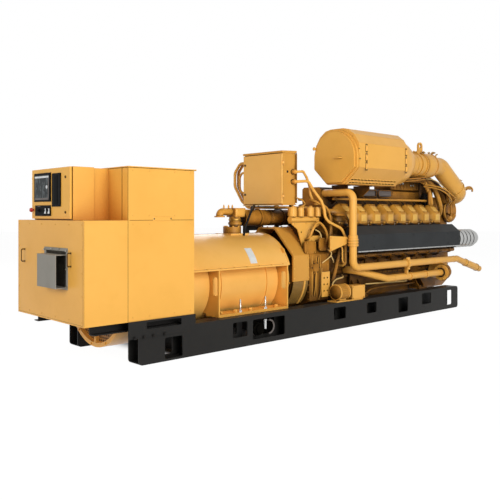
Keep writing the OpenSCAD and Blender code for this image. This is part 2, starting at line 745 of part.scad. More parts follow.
module junction_box() color(yellow) on_skid() {
    y0 = -jb_w / 2;
    in = jb_wall + 8;           // frame round the door opening
    difference() {
        slab([jb_x, y0, jb_z], [jb_d, jb_w, jb_h]);
        slab([jb_x - 1, y0 + in, jb_z + in], [jb_d - jb_wall + 1, jb_w - 2 * in, jb_h - 2 * in]);
    }
    // rear frame, floor plate and lid
    slab([jb_x + jb_d - 1, y0 - 16, jb_z + 12], [15, jb_w + 32, jb_h - 18]);
    slab([jb_x - 4, y0 - 4, jb_z - 10], [jb_d + 16, jb_w + 8, 11]);
    along_y(y0 - 6, jb_w + 12) translate([jb_x, jb_z + jb_h]) polygon([
        [-26, -1], [jb_d + 18, -1], [jb_d + 18, 32], [-26, 22]
    ]);
    for (s = [near, far], g = s == near ? near_glands : far_glands) translate([g[0], s * (jb_w / 2 - 1), g[1]])
        rotate([-s * 90, 0, 0]) {
            cylinder(h = 14, r = 25, $fn = 6);
            cylinder(h = gland_l, r = 20);
        }
    for (z = jb_hinges) translate([jb_x, y0 - hinge_off, z]) mirror([0, 1, 0]) hinge_fixed();
}

module junction_box_door() color(yellow) on_skid() difference() {
    union() {
        slab([jb_x - jb_door_t - door_gap, -jb_w / 2, jb_z + 4], [jb_door_t, jb_w, jb_h - 14]);
        for (z = jb_hinges) translate([jb_x, -jb_w / 2 - hinge_off, z]) mirror([0, 1, 0]) hinge_moving(jb_door_t);
    }
    for (z = jb_hinges) translate([jb_x, -jb_w / 2 - hinge_off, z]) pin_hole();
}

module junction_box_stand() color(black) on_skid() {
    // posts on the flywheel housing, either side of the fuel pipe, with arms to the box's rear frame
    for (y = [-122, 122]) {
        slab([hous_x, y - 15, shaft_z + guard_top], [50, 30, jb_z - shaft_z - guard_top + 90]);
        slab([jb_x + jb_d + 14, y - 15, jb_z + 30], [hous_x + 1 - jb_x - jb_d - 14, 30, 60]);
    }
    // foot on the alternator's shell, bar towards the engine, and a strut up to the box's floor
    bar_z = shaft_z + shell_r + 22;
    difference() {
        slab([1985, 170, bar_z - 120], [50, 60, 121]);
        along_x(1900, 300) translate([0, shaft_z]) circle(shell_r + fit, $fn = 96);
    }
    slab([1985, 170, bar_z], [277, 60, 60]);
    along_y(185, 30) polygon([
        [jb_x + 10, jb_z - 10], [jb_x + 50, jb_z - 10], [2050, bar_z + 59], [2010, bar_z + 59]
    ]);
}

/* ---- gas train ---- */

valve_y = -340;                 // axes of the gas valves' chambers
valve_x = [2226, 2518];
chamber_r = 43;
chamber_pitch = 128;
chamber_h = 106;
valve_z = shaft_z + 692;
shelf_z = valve_z - 66;         // top of the shelf under the header

module gas_valves() color(yellow) on_skid() {
    for (x = valve_x) translate([x, valve_y, valve_z]) {
        // two round chambers, joined by the body behind, with a cap on the first
        for (dx = [0, chamber_pitch]) translate([dx, 0, 0]) cylinder(h = chamber_h, r = chamber_r);
        slab([5, 8, 8], [chamber_pitch + 40, 70, chamber_h - 16]);
        translate([20, 8, chamber_h - 1]) cylinder(h = 18, r = 20);
        translate([chamber_pitch, 0, chamber_h - 1]) cylinder(h = 7, r = 26);
    }
    // header under both
    bar([valve_x[0] - 36, valve_y + 10, valve_z - 32], [valve_x[1] + 90, valve_y + 10, valve_z - 32], 34);
}

module gas_valve_bracket() color(yellow) on_skid() {
    front = valve_y - 12;
    slab([2210, front, shelf_z - 12], [454, 60, 12]);
    // front plate that narrows to a leg on the flywheel housing, with an ear at its end
    difference() {
        along_y(front, 12) translate([0, shaft_z]) polygon([
            [2210, 626], [2210, 604], [2300, 545], [2394, 310], [2557, 310], [2513, 545], [2664, 585], [2664, 680],
            [2625, 680], [2612, 626]
        ]);
        along_x(hous_x - 200, hous_l + 200) translate([0, shaft_z]) housing_outline();
        for (p = [[2359, 514], [2530, 466], [2530, 405]]) translate([p[0], front - 1, shaft_z + p[1]])
            rotate([-90, 0, 0]) cylinder(h = 14, r = 8);
    }
    // second flange behind the leg
    slab([2505, front + 11, shaft_z + 393], [185, 10, 75]);
}

module fuel_inlet() color(yellow) on_skid() {
    translate([inlet_x, 0, pad_z]) cylinder(h = 70, r = 100);
    translate([inlet_x + 42, 0, pad_z + 60]) cylinder(h = shaft_z + 690 - pad_z - 60, r = 66);
    translate([inlet_x + 42, 0, pad_z + 95]) cylinder(h = 26, r = 76);
    slab([inlet_x - 17, -74, shaft_z + 688], [148, 148, 99]);
    pipe([
        [inlet_x - 17, 0, shaft_z + 745], [inlet_x - 180, 0, shaft_z + 745], [inlet_x - 180, 0, shaft_z + 690]
    ], 40, 44);
    translate([inlet_x - 180, 0, shaft_z + 686]) cylinder(h = 14, r = 58);
}

module fuel_pipe() color(shade) on_skid() {
    z = shaft_z + 680;
    groove = 2140;              // joint with clamped seal, between two lengths
    translate([inlet_x + 131, 0, z]) rotate([0, 90, 0]) rotate_extrude() polygon([
        [0, 0], [fuel_r, 0], [fuel_r, groove - inlet_x - 141], [fuel_r - 14, groove - inlet_x - 129],
        [fuel_r - 14, groove - inlet_x - 105], [fuel_r, groove - inlet_x - 93], [fuel_r, plenum_x - inlet_x - 131],
        [0, plenum_x - inlet_x - 131]
    ]);
    for (x = [2000, 2360]) disc([x, 0, z], [1, 0, 0], fuel_r + 8, 24);
}

/* ---- small machines ---- */

module prelube_pump() color(yellow) on_skid() translate([0, -half_w + 85, deck]) {
    slab([2670, -70, 0], [480, 140, 14]);
    // motor along the machine, on a foot, with a ring at each end
    translate([2730, 0, 108]) rotate([0, 90, 0]) {
        cylinder(h = 170, r = 84);
        cylinder(h = 16, r = 92);
        translate([0, 0, 154]) cylinder(h = 16, r = 92);
        translate([0, 0, 169]) cylinder(h = 70, r = 34);
    }
    slab([2750, -45, 13], [120, 90, 40]);
    slab([2964, -60, 14], [240, 120, 155]);
    slab([2950, -74, 30], [15, 148, 150]);
}

module lifting_eyes() color(yellow) on_skid() translate([eye_x, cleaner_y, cleaner_z]) {
    // foot on the duct between its flanges, base plate over the first clamp
    difference() {
        slab([-120, -40, 130], [60, 80, eye_base - 130]);
        disc([0, 0, 0], [1, 0, 0], duct_r - 6 + fit, 300);
    }
    slab([-120, -40, eye_base - 1], [190, 80, 13]);
    along_y(-eye_t / 2, eye_t) difference() {
        union() {
            translate([-52, eye_base + 11]) square([104, 80]);
            translate([0, eye_base + 90]) circle(52);
        }
        translate([0, eye_base + 90]) circle(eye_hole);
    }
}

// bolting plate on each side of the housing, with six holes
module housing_plates() color(yellow) on_skid() for (s = [near, far]) difference() {
    slab([2609, s == near ? -442 : 430, shaft_z - 239], [141, 12, 289]);
    for (x = [2650, 2708], z = [-170, -95, -20]) translate([x, s * 436 - 8, shaft_z + z])
        rotate([-90, 0, 0]) cylinder(h = 16, r = 11);
}

// gas manifold over each bank, with a branch to the plenum at every cylinder
module gas_manifold() color(shade) on_skid() for (s = [near, far]) {
    y = s * 285;
    z = shaft_z + 905;
    bar([head_x + 60, y, z], [head_x + bank_n * pitch - 80, y, z], 17);
    for (i = [0 : bank_n - 1])
        bar([head_x + 130 + i * pitch, y, z], [head_x + 130 + i * pitch, s * plenum_r, z], 11);
}

module ignition_boxes() color("#5d5458") on_skid() for (s = [near, far], x = [3640, 4000])
    slab([x, s == near ? -230 : plenum_r, shaft_z + 957], [270, 230 - plenum_r, 68]);

// pipes from the top of the plenum, over the last valve cover and down to the front housing
module turbo_pipes() color(shade) on_skid() {
    top = shaft_z + 1050;
    pipe([[4480, -100, top], [4480, -100, top + 130], [4580, -250, top + 130], [4950, -300, top + 130],
        [5050, -325, top + 40], [5050, -325, shaft_z + 853]], 19, [52, 58, 80, 64]);
    pipe([[4640, -60, top], [4640, -60, top + 150], [4760, -190, top + 150], [5120, -220, top + 145],
        [5260, -200, top + 20], [5300, -190, top - 200], [5300, -190, shaft_z + 560]], 21, [52, 60, 80, 90, 90, 60]);
}

// cable hoses: the near pair to the gas valves and the engine, the far pair in a loop to the plenum
module junction_hoses() color(yellow) on_skid() {
    out = gland_tip + 46;
    low = near_glands[0];
    high = near_glands[1];
    // over the gas valves, down beside them and along to the block
    pipe([[low[0], -gland_tip, low[1]], [low[0], -out, low[1]], [2420, -out - 4, low[1] + 12], [2512, -400, 1588],
        [2610, -435, 1462], [2648, -445, 1370], [2660, -450, 1270], [2720, -460, 1218],
        [2930, -470, 1140], [3004, -470, 1040], [3004, -470, 700], [3004, -330, 700]],
        16, [36, 90, 130, 120, 100, 90, 80, 130, 90, 50, 36]);
    // behind it to the plenum
    pipe([[high[0], -gland_tip, high[1]], [high[0], -out + 6, high[1]], [2350, -out + 8, high[1] + 8],
        [2440, -360, 1730], [2505, -345, 1640], [2525, -342, 1535], [2600, -320, 1462], [2760, -190, 1444],
        [2860, -115, 1436], [plenum_x, -115, 1436]], 14, [28, 60, 80, 90, 90, 90, 90, 60]);
    // two in a wide loop from the far side, under the box and on to the plenum
    for (k = [0, 1]) {
        x = far_glands[k][0];
        y = 85 - 40 * k;
        z = jb_z - 35;
        pipe([[x, gland_tip, far_glands[k][1]], [x, 500, far_glands[k][1]], [x, 598, 1815], [x, 600, 1650],
            [x, 470, 1470], [x + 20, 380, z], [x + 60, y, z], [plenum_x, y, z]], 17, [90, 90, 120, 110, 60, 60, 60]);
    }
    // short loop between two glands
    c = far_glands[2];
    d = far_glands[3];
    pipe([[c[0], gland_tip, c[1]], [c[0], 540, c[1]], [d[0], 540, d[1]], [d[0], gland_tip, d[1]]], 13, 70);
}

// small lines on the near side, between the gas valves, the first head and the block
module engine_hoses() color(yellow) on_skid() {
    line_z = valve_z + 84;
    pipe([[valve_x[1] + chamber_pitch + 45, valve_y + 40, line_z], [2765, valve_y + 40, line_z],
        [2800, -430, line_z - 80], [2800, -430, shaft_z + 380], [2800, -cover_in, shaft_z + 380]],
        7, [20, 40, 12]);
    pipe([[head_x, -385, 1300], [2850, -385, 1300], [2850, -480, 1306], [2960, -500, 1300], [3050, -500, 1200],
        [3050, -500, shaft_z + 372], [3050, -cover_in, shaft_z + 372]], 18, [38, 36, 60, 60, 38]);
}

skid_rail_near();
skid_rail_far();
skid_crossmembers();
cabinet_risers();
cabinet_beams();
low_cabinet();
tall_cabinet();
tall_cabinet_lid();
cable_hood();
cabinet_handles();
control_box();
control_door();
controller_display();
alarm_panel();
switch_plate();
selector_knob();
emergency_stop();
alternator_body();
alternator_feet();
coupling_guard();
flywheel_housing();
engine_block();
oil_pan();
engine_feet();
front_housing();
crank_damper();
cylinder_heads();
valve_covers_near();
valve_covers_far();
side_cover_near();
side_cover_far();
cover_rails();
ribbed_duct_near();
ribbed_duct_far();
intake_plenum();
air_cleaner();
cleaner_supports();
intake_duct();
duct_clamps();
turbocharger();
water_pipe_upper();
water_pipe_lower();
water_pump();
pipe_bracket();
junction_box();
junction_box_door();
junction_box_stand();
gas_valves();
gas_valve_bracket();
fuel_inlet();
fuel_pipe();
prelube_pump();
lifting_eyes();
housing_plates();
gas_manifold();
ignition_boxes();
turbo_pipes();
junction_hoses();
engine_hoses();
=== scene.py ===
"""Looks of a natural gas generator set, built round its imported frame."""
import json
import logging
import math
from dataclasses import dataclass
from enum import Enum
from typing import Any, Sequence

import bmesh
import bpy
import numpy as np
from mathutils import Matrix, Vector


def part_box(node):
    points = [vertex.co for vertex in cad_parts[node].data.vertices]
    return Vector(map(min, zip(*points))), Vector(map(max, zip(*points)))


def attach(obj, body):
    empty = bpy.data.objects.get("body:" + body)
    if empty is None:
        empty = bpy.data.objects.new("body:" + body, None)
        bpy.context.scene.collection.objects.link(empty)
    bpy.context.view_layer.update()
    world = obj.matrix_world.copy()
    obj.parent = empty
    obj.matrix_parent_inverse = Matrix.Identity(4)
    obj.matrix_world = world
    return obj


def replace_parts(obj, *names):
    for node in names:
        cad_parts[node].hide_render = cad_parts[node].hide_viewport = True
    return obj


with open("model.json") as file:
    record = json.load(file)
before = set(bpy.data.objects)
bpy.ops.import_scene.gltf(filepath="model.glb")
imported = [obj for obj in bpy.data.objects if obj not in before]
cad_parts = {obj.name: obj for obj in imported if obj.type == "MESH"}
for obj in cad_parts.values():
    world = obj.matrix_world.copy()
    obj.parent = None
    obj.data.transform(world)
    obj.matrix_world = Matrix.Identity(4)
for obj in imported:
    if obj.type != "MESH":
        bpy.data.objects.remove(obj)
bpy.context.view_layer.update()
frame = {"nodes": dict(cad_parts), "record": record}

BOXES = {name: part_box(name) for name in frame["nodes"]}
SKID_REACH = -BOXES["skid_rail_near"][0][0]
AHEAD, BEHIND, NEAR, FAR, UP = (1, 0, 0), (-1, 0, 0), (0, -1, 0), (0, 1, 0), (0, 0, 1)
SIDES = (("near", -1.0), ("far", 1.0))
LOG = logging.getLogger("generator")
Array = np.ndarray


# ---------------------------------------------------------------- shader maths

class Wire:
    """One output socket or number of a node tree, on which arithmetic adds Math nodes."""

    def __init__(self, graph: "Graph", value: Any) -> None:
        """Keep the tree and the socket or number."""
        self.graph = graph
        self.value = value

    def _math(self, operation: str, *others: Any) -> "Wire":
        """Add a Math node for the operation, with this value first and the others after it."""
        return self.graph.node("ShaderNodeMath", {"operation": operation}, list((self,) + others))

    def __add__(self, other: Any) -> "Wire":
        """self + other."""
        return self._math("ADD", other)

    def __radd__(self, other: Any) -> "Wire":
        """other + self."""
        return self._math("ADD", other)

    def __mul__(self, other: Any) -> "Wire":
        """self * other."""
        return self._math("MULTIPLY", other)

    def __rmul__(self, other: Any) -> "Wire":
        """other * self."""
        return self._math("MULTIPLY", other)

    def __sub__(self, other: Any) -> "Wire":
        """self - other."""
        return self._math("SUBTRACT", other)

    def __rsub__(self, other: Any) -> "Wire":
        """other - self."""
        return self.graph.node("ShaderNodeMath", {"operation": "SUBTRACT"}, [other, self])

    def ramp(self, low: float, high: float) -> "Wire":
        """Stretch low..high smoothly to 0..1."""
        settings = {"interpolation_type": "SMOOTHSTEP", "clamp": True}
        return self.graph.node("ShaderNodeMapRange", settings, {0: self, 1: low, 2: high})

    def fraction(self) -> "Wire":
        """What is left of the value above its whole number."""
        return self._math("FRACT")


class Graph:
    """A material's node tree with a Principled shader."""

    def __init__(self, name: str) -> None:
        """Start an empty tree.

        Args:
            name: the material's name.
        """
        self.material = bpy.data.materials.new(name)
        self.material.use_nodes = True
        self.tree = self.material.node_tree
        self.tree.nodes.clear()
        self.output = self.tree.nodes.new("ShaderNodeOutputMaterial")
        self.shader = self.tree.nodes.new("ShaderNodeBsdfPrincipled")
        self.tree.links.new(self.shader.outputs[0], self.output.inputs[0])

    def feed(self, socket: Any, value: Any) -> None:
        """Link a wire to a socket, or set a number or colour on it.

        Args:
            socket: the input.
            value: a wire, number or colour.
        """
        if isinstance(value, Wire):
            if isinstance(value.value, bpy.types.NodeSocket):
                self.tree.links.new(value.value, socket)
            else:
                socket.default_value = value.value
        else:
            socket.default_value = value

    def node(self, kind: str, settings: dict[str, Any], inputs: Any, output: Any = 0) -> Wire:
        """Add any node.

        Args:
            kind: the node's type.
            settings: attributes set first, such as a Math node's operation.
            inputs: a list by place or a dict by name or place of values and wires.
            output: name or place of the wanted output.

        Returns:
            That output as a wire.
        """
        made = self.tree.nodes.new(kind)
        for key, value in settings.items():
            setattr(made, key, value)
        pairs = inputs.items() if isinstance(inputs, dict) else enumerate(inputs)
        for key, value in pairs:
            self.feed(made.inputs[key], value)
        return Wire(self, made.outputs[output])

    def place(self, scale: Sequence[float] = (1, 1, 1)) -> Wire:
        """Object coordinates stretched by scale."""
        where = self.node("ShaderNodeTexCoord", {}, [], "Object")
        return self.node("ShaderNodeMapping", {}, {"Vector": where, "Scale": tuple(scale)})

    def noise(self, scale: float, detail: float = 3.0, stretch: Sequence[float] = (1, 1, 1)) -> Wire:
        """Noise of scale waves in a metre, 0..1."""
        return self.node("ShaderNodeTexNoise", {}, {"Vector": self.place(stretch), "Scale": scale, "Detail": detail})

    def along(self, axis: int) -> Wire:
        """The object coordinate along an axis, 0, 1 or 2."""
        return self.node("ShaderNodeSeparateXYZ", {}, [self.place()], axis)

    def mix(self, factor: Any, first: Any, second: Any) -> Wire:
        """Colour between first and second by factor."""
        return self.node("ShaderNodeMix", {"data_type": "RGBA"}, {0: factor, 6: first, 7: second}, 2)

    def hollow(self, reach: float, low: float = 0.30, high: float = 0.92) -> Wire:
        """How hidden a point is from the open air within reach metres, 0 in the open to 1 deep in a gap; the finishes
        use it to paint shade into gaps.
        """
        return 1 - self.node("ShaderNodeAmbientOcclusion", {"samples": 6}, {"Distance": reach}, "AO").ramp(low, high)

    def bump(self, height: Wire, strength: float, distance: float) -> Wire:
        """Bump from a height wire."""
        return self.node("ShaderNodeBump", {}, {"Height": height, "Strength": strength, "Distance": distance})

    def set(self, **values: Any) -> None:
        """Feed the Principled sockets, named with _ for blanks."""
        for key, value in values.items():
            self.feed(self.shader.inputs[key.replace("_", " ")], value)


def linear(code: str) -> tuple[float, float, float, float]:
    """Scene colour of a hex code such as e5a83c: each channel through the sRGB curve.

    Args:
        code: six hex digits.

    Returns:
        Red, green, blue and 1.
    """
    parts = [int(code[i:i + 2], 16) / 255 for i in (0, 2, 4)]
    curve = [p / 12.92 if p <= 0.04045 else ((p + 0.055) / 1.055) ** 2.4 for p in parts]
    return curve[0], curve[1], curve[2], 1.0


# ---------------------------------------------------------------- surfaces

def at(x: float, y: float, z: float) -> Array:
    """Point in metres from the skid's own millimetres: along from its rear end, across, up."""
    return np.array([x / 1000.0 - SKID_REACH, y / 1000.0, z / 1000.0])


def rows_at(points: Sequence[Sequence[float]]) -> Array:
    """Many points in metres from the skid's own millimetres, as one array."""
    return np.asarray(points, float) / 1000.0 - np.array([SKID_REACH, 0.0, 0.0])


def grid_at(x: Any, y: Any, z: Any) -> Array:
    """Every mix of the given x, y and z, each a number or a row of them, z changing fastest, as rows_at gives them."""
    return rows_at(pack(*np.meshgrid(x, y, z, indexing="ij")).reshape(-1, 3))


def pack(*columns: Any) -> Array:
    """Coordinates side by side on a new last axis; numbers and smaller arrays are spread to fit."""
    return np.stack(np.broadcast_arrays(*columns), axis=-1)


def unit(v: Array) -> Array:
    """Vectors of length one along v."""
    v = np.asarray(v, float)
    return v / np.maximum(np.linalg.norm(v, axis=-1, keepdims=True), 1e-12)


def frame_for(normal: Sequence[float]) -> Array:
    """Right-handed axes, as rows, whose third row is the normal.

    Args:
        normal: where the third axis points; a stack of them gives a stack of frames.

    Returns:
        Array (..., 3, 3).
    """
    w = unit(np.asarray(normal, float))
    side = np.where(np.abs(w[..., 2:3]) > 0.9, np.array([1.0, 0.0, 0.0]), np.array([0.0, 0.0, 1.0]))
    u = unit(np.cross(side, w))
    return np.stack([u, np.cross(w, u), w], axis=-2)


def turned(points: Array, origin: Array, axes: Array) -> Array:
    """Carry local points to their place.

    Args:
        points: grid (rows, cols, 3) in local axes.
        origin: one place (3,) or many (copies, 3).
        axes: one frame (3, 3) or many (copies, 3, 3), axes as rows.

    Returns:
        Grid of each copy, point = origin + sum of coordinate times axis.
    """
    origin, axes = np.atleast_2d(origin), np.asarray(axes, float)
    axes = np.broadcast_to(axes, (len(origin), 3, 3))
    return origin[:, None, None, :] + np.einsum("rcj,kjx->krcx", points, axes)


class Skin:
    """Grids of surface points gathered into one piece."""

    def __init__(self) -> None:
        """Start empty."""
        self.points: list[Array] = []
        self.faces: list[Array] = []
        self.count = 0

    def add(self, grid: Array, wrap: bool = True, loop: bool = False) -> "Skin":
        """Add a grid of points, or a stack of them.

        Args:
            grid: array (..., rows, cols, 3); leading axes are copies.
            wrap: the last column joins the first.
            loop: the last row joins the first.

        Returns:
            The skin itself.
        """
        grid = np.asarray(grid, float)
        rows, cols = grid.shape[-3], grid.shape[-2]
        grid = grid.reshape(-1, rows, cols, 3)
        r = np.arange(rows if loop else rows - 1)[:, None]
        c = np.arange(cols if wrap else cols - 1)[None, :]
        here, after = r * cols, (r + 1) % rows * cols
        nearby = (c + 1) % cols
        quads = pack(here + c, here + nearby, after + nearby, after + c).reshape(-1, 4)
        shift = self.count + np.arange(len(grid))[:, None, None] * (rows * cols)
        self.faces.append((quads[None] + shift).reshape(-1, 4))
        self.points.append(grid.reshape(-1, 3))
        self.count += grid.shape[0] * rows * cols
        return self

    def piece(self, name: str, finish: "Finish", body: str = "root", crease: float = 35.0) -> bpy.types.Object:
        """Turn the grids into one object that rides on a body.

        Args:
            name: the piece's name.
            finish: its finish.
            body: the body that it moves with.
            crease: edges sharper than this many degrees stay sharp.

        Returns:
            The object, its shells closed at seams and poles and facing outwards.
        """
        points, faces = np.concatenate(self.points), np.concatenate(self.faces)
        mesh = bpy.data.meshes.new(name)
        mesh.vertices.add(len(points))
        mesh.vertices.foreach_set("co", points.astype(np.float32).ravel())
        mesh.loops.add(faces.size)
        mesh.loops.foreach_set("vertex_index", faces.astype(np.int32).ravel())
        mesh.polygons.add(len(faces))
        mesh.polygons.foreach_set("loop_start", np.arange(0, faces.size, 4, dtype=np.int32))
        mesh.update(calc_edges=True)
        shell = bmesh.new()
        shell.from_mesh(mesh)
        bmesh.ops.remove_doubles(shell, verts=shell.verts, dist=2e-6)
        bmesh.ops.recalc_face_normals(shell, faces=shell.faces)
        shell.to_mesh(mesh)
        shell.free()
        mesh.polygons.foreach_set("use_smooth", np.ones(len(mesh.polygons), dtype=bool))
        mesh.set_sharp_from_angle(angle=math.radians(crease))
        mesh.materials.append(finish.material)
        made = bpy.data.objects.new(name, mesh)
        bpy.context.collection.objects.link(made)
        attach(made, body)
        LOG.info("made %s: %d faces", name, len(mesh.polygons))
        return made


def circle(sides: int) -> Array:
    """Angles of a full turn, without the last."""
    return np.arange(sides) * (2 * math.pi / sides)


def spun(profile: Sequence[Sequence[float]], sides: int = 40) -> Array:
    """A profile turned round the third axis: (r cos t, r sin t, h) for each profile point (r, h).

    Args:
        profile: (n, 2) points, radius and height.
        sides: points round the turn.

    Returns:
        Grid (n, sides, 3).
    """
    p = np.asarray(profile, float)
    t = circle(sides)
    flat = pack(np.cos(t), np.sin(t))
    ring = p[:, None, :1] * flat[None]
    return np.concatenate([ring, np.broadcast_to(p[:, None, 1:], ring.shape[:2] + (1,))], axis=-1)


def rounded(width: float, height: float, corner: float, steps: int = 5) -> Array:
    """Outline of a rectangle with round corners, centred: each corner's arc sampled evenly.

    Args:
        width: of the rectangle.
        height: of the rectangle.
        corner: radius of its corners.
        steps: points on each arc.

    Returns:
        Array (4 * steps, 2).
    """
    corner = min(corner, width / 2 - 1e-5, height / 2 - 1e-5)
    t = np.linspace(0, math.pi / 2, steps)
    arcs = []
    for k, (sx, sy) in enumerate(((1, 1), (-1, 1), (-1, -1), (1, -1))):
        centre = np.array([sx * (width / 2 - corner), sy * (height / 2 - corner)])
        a = t + k * math.pi / 2
        arcs.append(centre + corner * pack(np.cos(a), np.sin(a)))
    return np.concatenate(arcs)


def padded_plate(outline: Array, thick: float, edge: float, crown: float = 0.0) -> Array:
    """A closed plate over an outline, with rounded rim and a slightly domed face.

    The grid runs from the middle of the back, out to the rim, over a quarter-round of radius edge and in to the
    middle of the face: inner rings are the outline scaled towards its middle, higher by crown * (1 - s * s).

    Args:
        outline: (n, 2) points round the plate.
        thick: its thickness.
        edge: radius of the rim.
        crown: extra height in the middle.

    Returns:
        Grid (rows, n, 3) that stands on height 0.
    """
    middle = outline.mean(axis=0)
    reach = np.abs(outline - middle).max(axis=0)
    bend = np.linspace(0, math.pi / 2, 4)
    inset = edge * (1 - np.cos(bend))
    lift = thick - edge + edge * np.sin(bend)
    scale = [np.zeros(2), np.ones(2)] + [1 - i / reach for i in inset]
    height = [0.0, 0.0] + list(lift)
    last = scale[-1]
    for s in (0.8, 0.5, 0.2, 0.0):
        scale.append(last * s)
        height.append(thick + crown * (1 - s * s))
    rings = middle + np.stack(scale)[:, None, :] * (outline - middle)[None]
    tall = np.broadcast_to(np.asarray(height)[:, None, None], rings.shape[:2] + (1,))
    return np.concatenate([rings, tall], axis=-1)


def smooth_path(points: Array, per: int = 8) -> Array:
    """Catmull-Rom curve through the points.

    Args:
        points: (n, 3) points.
        per: samples in each stretch.

    Returns:
        Array ((n - 1) * per + 1, 3).
    """
    p = np.concatenate([2 * points[:1] - points[1:2], points, 2 * points[-1:] - points[-2:-1]])
    t = (np.arange(per) / per)[None, :, None]
    a, b, c, d = (p[k:len(p) - 3 + k][:, None, :] for k in range(4))
    curve = 0.5 * (2 * b + (c - a) * t + (2 * a - 5 * b + 4 * c - d) * t * t + (3 * b - a - 3 * c + d) * t ** 3)
    return np.concatenate([curve.reshape(-1, 3), points[-1:]])


def carried(path: Array, radius: Any, sides: int = 14) -> Array:
    """A round tube along a path, closed at both ends.

    Each section is the path point plus radius * (cos t n + sin t b), n and b across the path; n stays square to the
    direction in which the whole path spreads least, so that the tube doesn't twist. The ends shrink to the axis.

    Args:
        path: (n, 3) points.
        radius: one number or one for each point.
        sides: points round a section.

    Returns:
        Grid (n + 2, sides, 3).
    """
    along = unit(np.gradient(path, axis=0))
    spread = path - path.mean(axis=0)
    least = np.linalg.svd(spread, full_matrices=True)[2][-1]
    n = unit(np.cross(along, least))
    b = np.cross(along, n)
    t = circle(sides)
    r = np.broadcast_to(np.asarray(radius, float).reshape(-1, 1, 1), (len(path), 1, 1))
    ring = np.cos(t)[None, :, None] * n[:, None, :] + np.sin(t)[None, :, None] * b[:, None, :]
    body = path[:, None, :] + r * ring
    first = np.broadcast_to(path[:1, None, :], (1, sides, 3))
    last = np.broadcast_to(path[-1:, None, :], (1, sides, 3))
    return np.concatenate([first, body, last])


def ribbon(path: Array, across: Array, out: Array, width: float, thick: float) -> Array:
    """A flat strip with rounded edges carried along a path, closed at both ends.

    Args:
        path: (n, 3) points on the surface that it lies on.
        across: direction of its width, one or for each point.
        out: direction of its thickness, one or for each point.
        width: its width.
        thick: its thickness.

    Returns:
        Grid (n + 2, 8, 3).
    """
    shape = np.array([(-.5, -.2), (-.5, .6), (-.42, 1), (0, 1), (.42, 1), (.5, .6), (.5, -.2), (0, -.2)])
    across = np.broadcast_to(unit(across), path.shape)
    out = np.broadcast_to(unit(out), path.shape)
    body = (path[:, None, :] + width * shape[None, :, :1] * across[:, None, :]
            + thick * shape[None, :, 1:] * out[:, None, :])
    first = np.broadcast_to(body[:1].mean(axis=1, keepdims=True), (1, 8, 3))
    last = np.broadcast_to(body[-1:].mean(axis=1, keepdims=True), (1, 8, 3))
    return np.concatenate([first, body, last])


def hex_head(across: float, height: float, washer: float = 1.32) -> Array:
    """A washer with a chamfered hexagon on it.

    Rows are (radius, height, share of hexagon); a point's radius is the row's times 1 + share * (h - 1), where
    h = 1 / cos of the angle from the nearest flat.

    Args:
        across: across the flats.
        height: of the whole head.
        washer: washer radius over the flats' radius.

    Returns:
        Grid (8, 12, 3).
    """
    a = across / 2
    rows = np.array([
        (0, -.1, 0), (washer * a, -.1, 0), (washer * a, .22, 0), (1.12 * a, .25, 0), (a, .25, 1), (a, .86, 1),
        (.86 * a, 1, 1), (0, 1, 0)
    ])
    t = circle(12)
    flat = 1 / np.cos((t + math.pi / 6) % (math.pi / 3) - math.pi / 6)
    r = rows[:, :1] * (1 + rows[:, 2:] * (flat - 1)[None])
    up = np.broadcast_to(rows[:, 1:2] * height, r.shape)
    return pack(r * np.cos(t), r * np.sin(t), up)


def softened(corners: Sequence[Sequence[float]], cut: float, steps: int = 4) -> Array:
    """Closed outline with each corner C replaced by the curve (1 - t)^2 A + 2 t (1 - t) C + t^2 B.

    Args:
        corners: (n, 2) corners in order.
        cut: distance from a corner to A and B, on its two sides.
        steps: points on each curve.

    Returns:
        Array (n * steps, 2).
    """
    c = np.asarray(corners, float)
    a = c + cut * unit(np.roll(c, 1, axis=0) - c)
    b = c + cut * unit(np.roll(c, -1, axis=0) - c)
    t = np.linspace(0, 1, steps)[None, :, None]
    return ((1 - t) ** 2 * a[:, None] + 2 * t * (1 - t) * c[:, None] + t * t * b[:, None]).reshape(-1, 2)


def hoop(radius: float, width: float, thick: float, sides: int = 64) -> Array:
    """A flat band round the third axis: an oblong section with rounded corners turned about it (rows loop)."""
    section = rounded(thick, width, min(thick, width) * 0.35, 3)
    return spun(pack(radius + thick / 2 + section[:, 0], section[:, 1]), sides)


def cushion(width: float, height: float, depth: float, power: float = 5.0, steps: int = 12) -> Array:
    """A pressed panel: depth * (1 - |u| ** power) * (1 - |v| ** power) over a rectangle.

    Args:
        width: of the rectangle.
        height: of the rectangle.
        depth: rise of the middle.
        power: the higher, the flatter the middle and the steeper the rim.
        steps: points each way.

    Returns:
        Grid (steps, steps, 3), open at its back.
    """
    s = np.sin(np.linspace(-math.pi / 2, math.pi / 2, steps))
    u, v = np.meshgrid(s, s, indexing="ij")
    rise = depth * (1 - np.abs(u) ** power) * (1 - np.abs(v) ** power)
    return pack(u * width / 2, v * height / 2, rise)


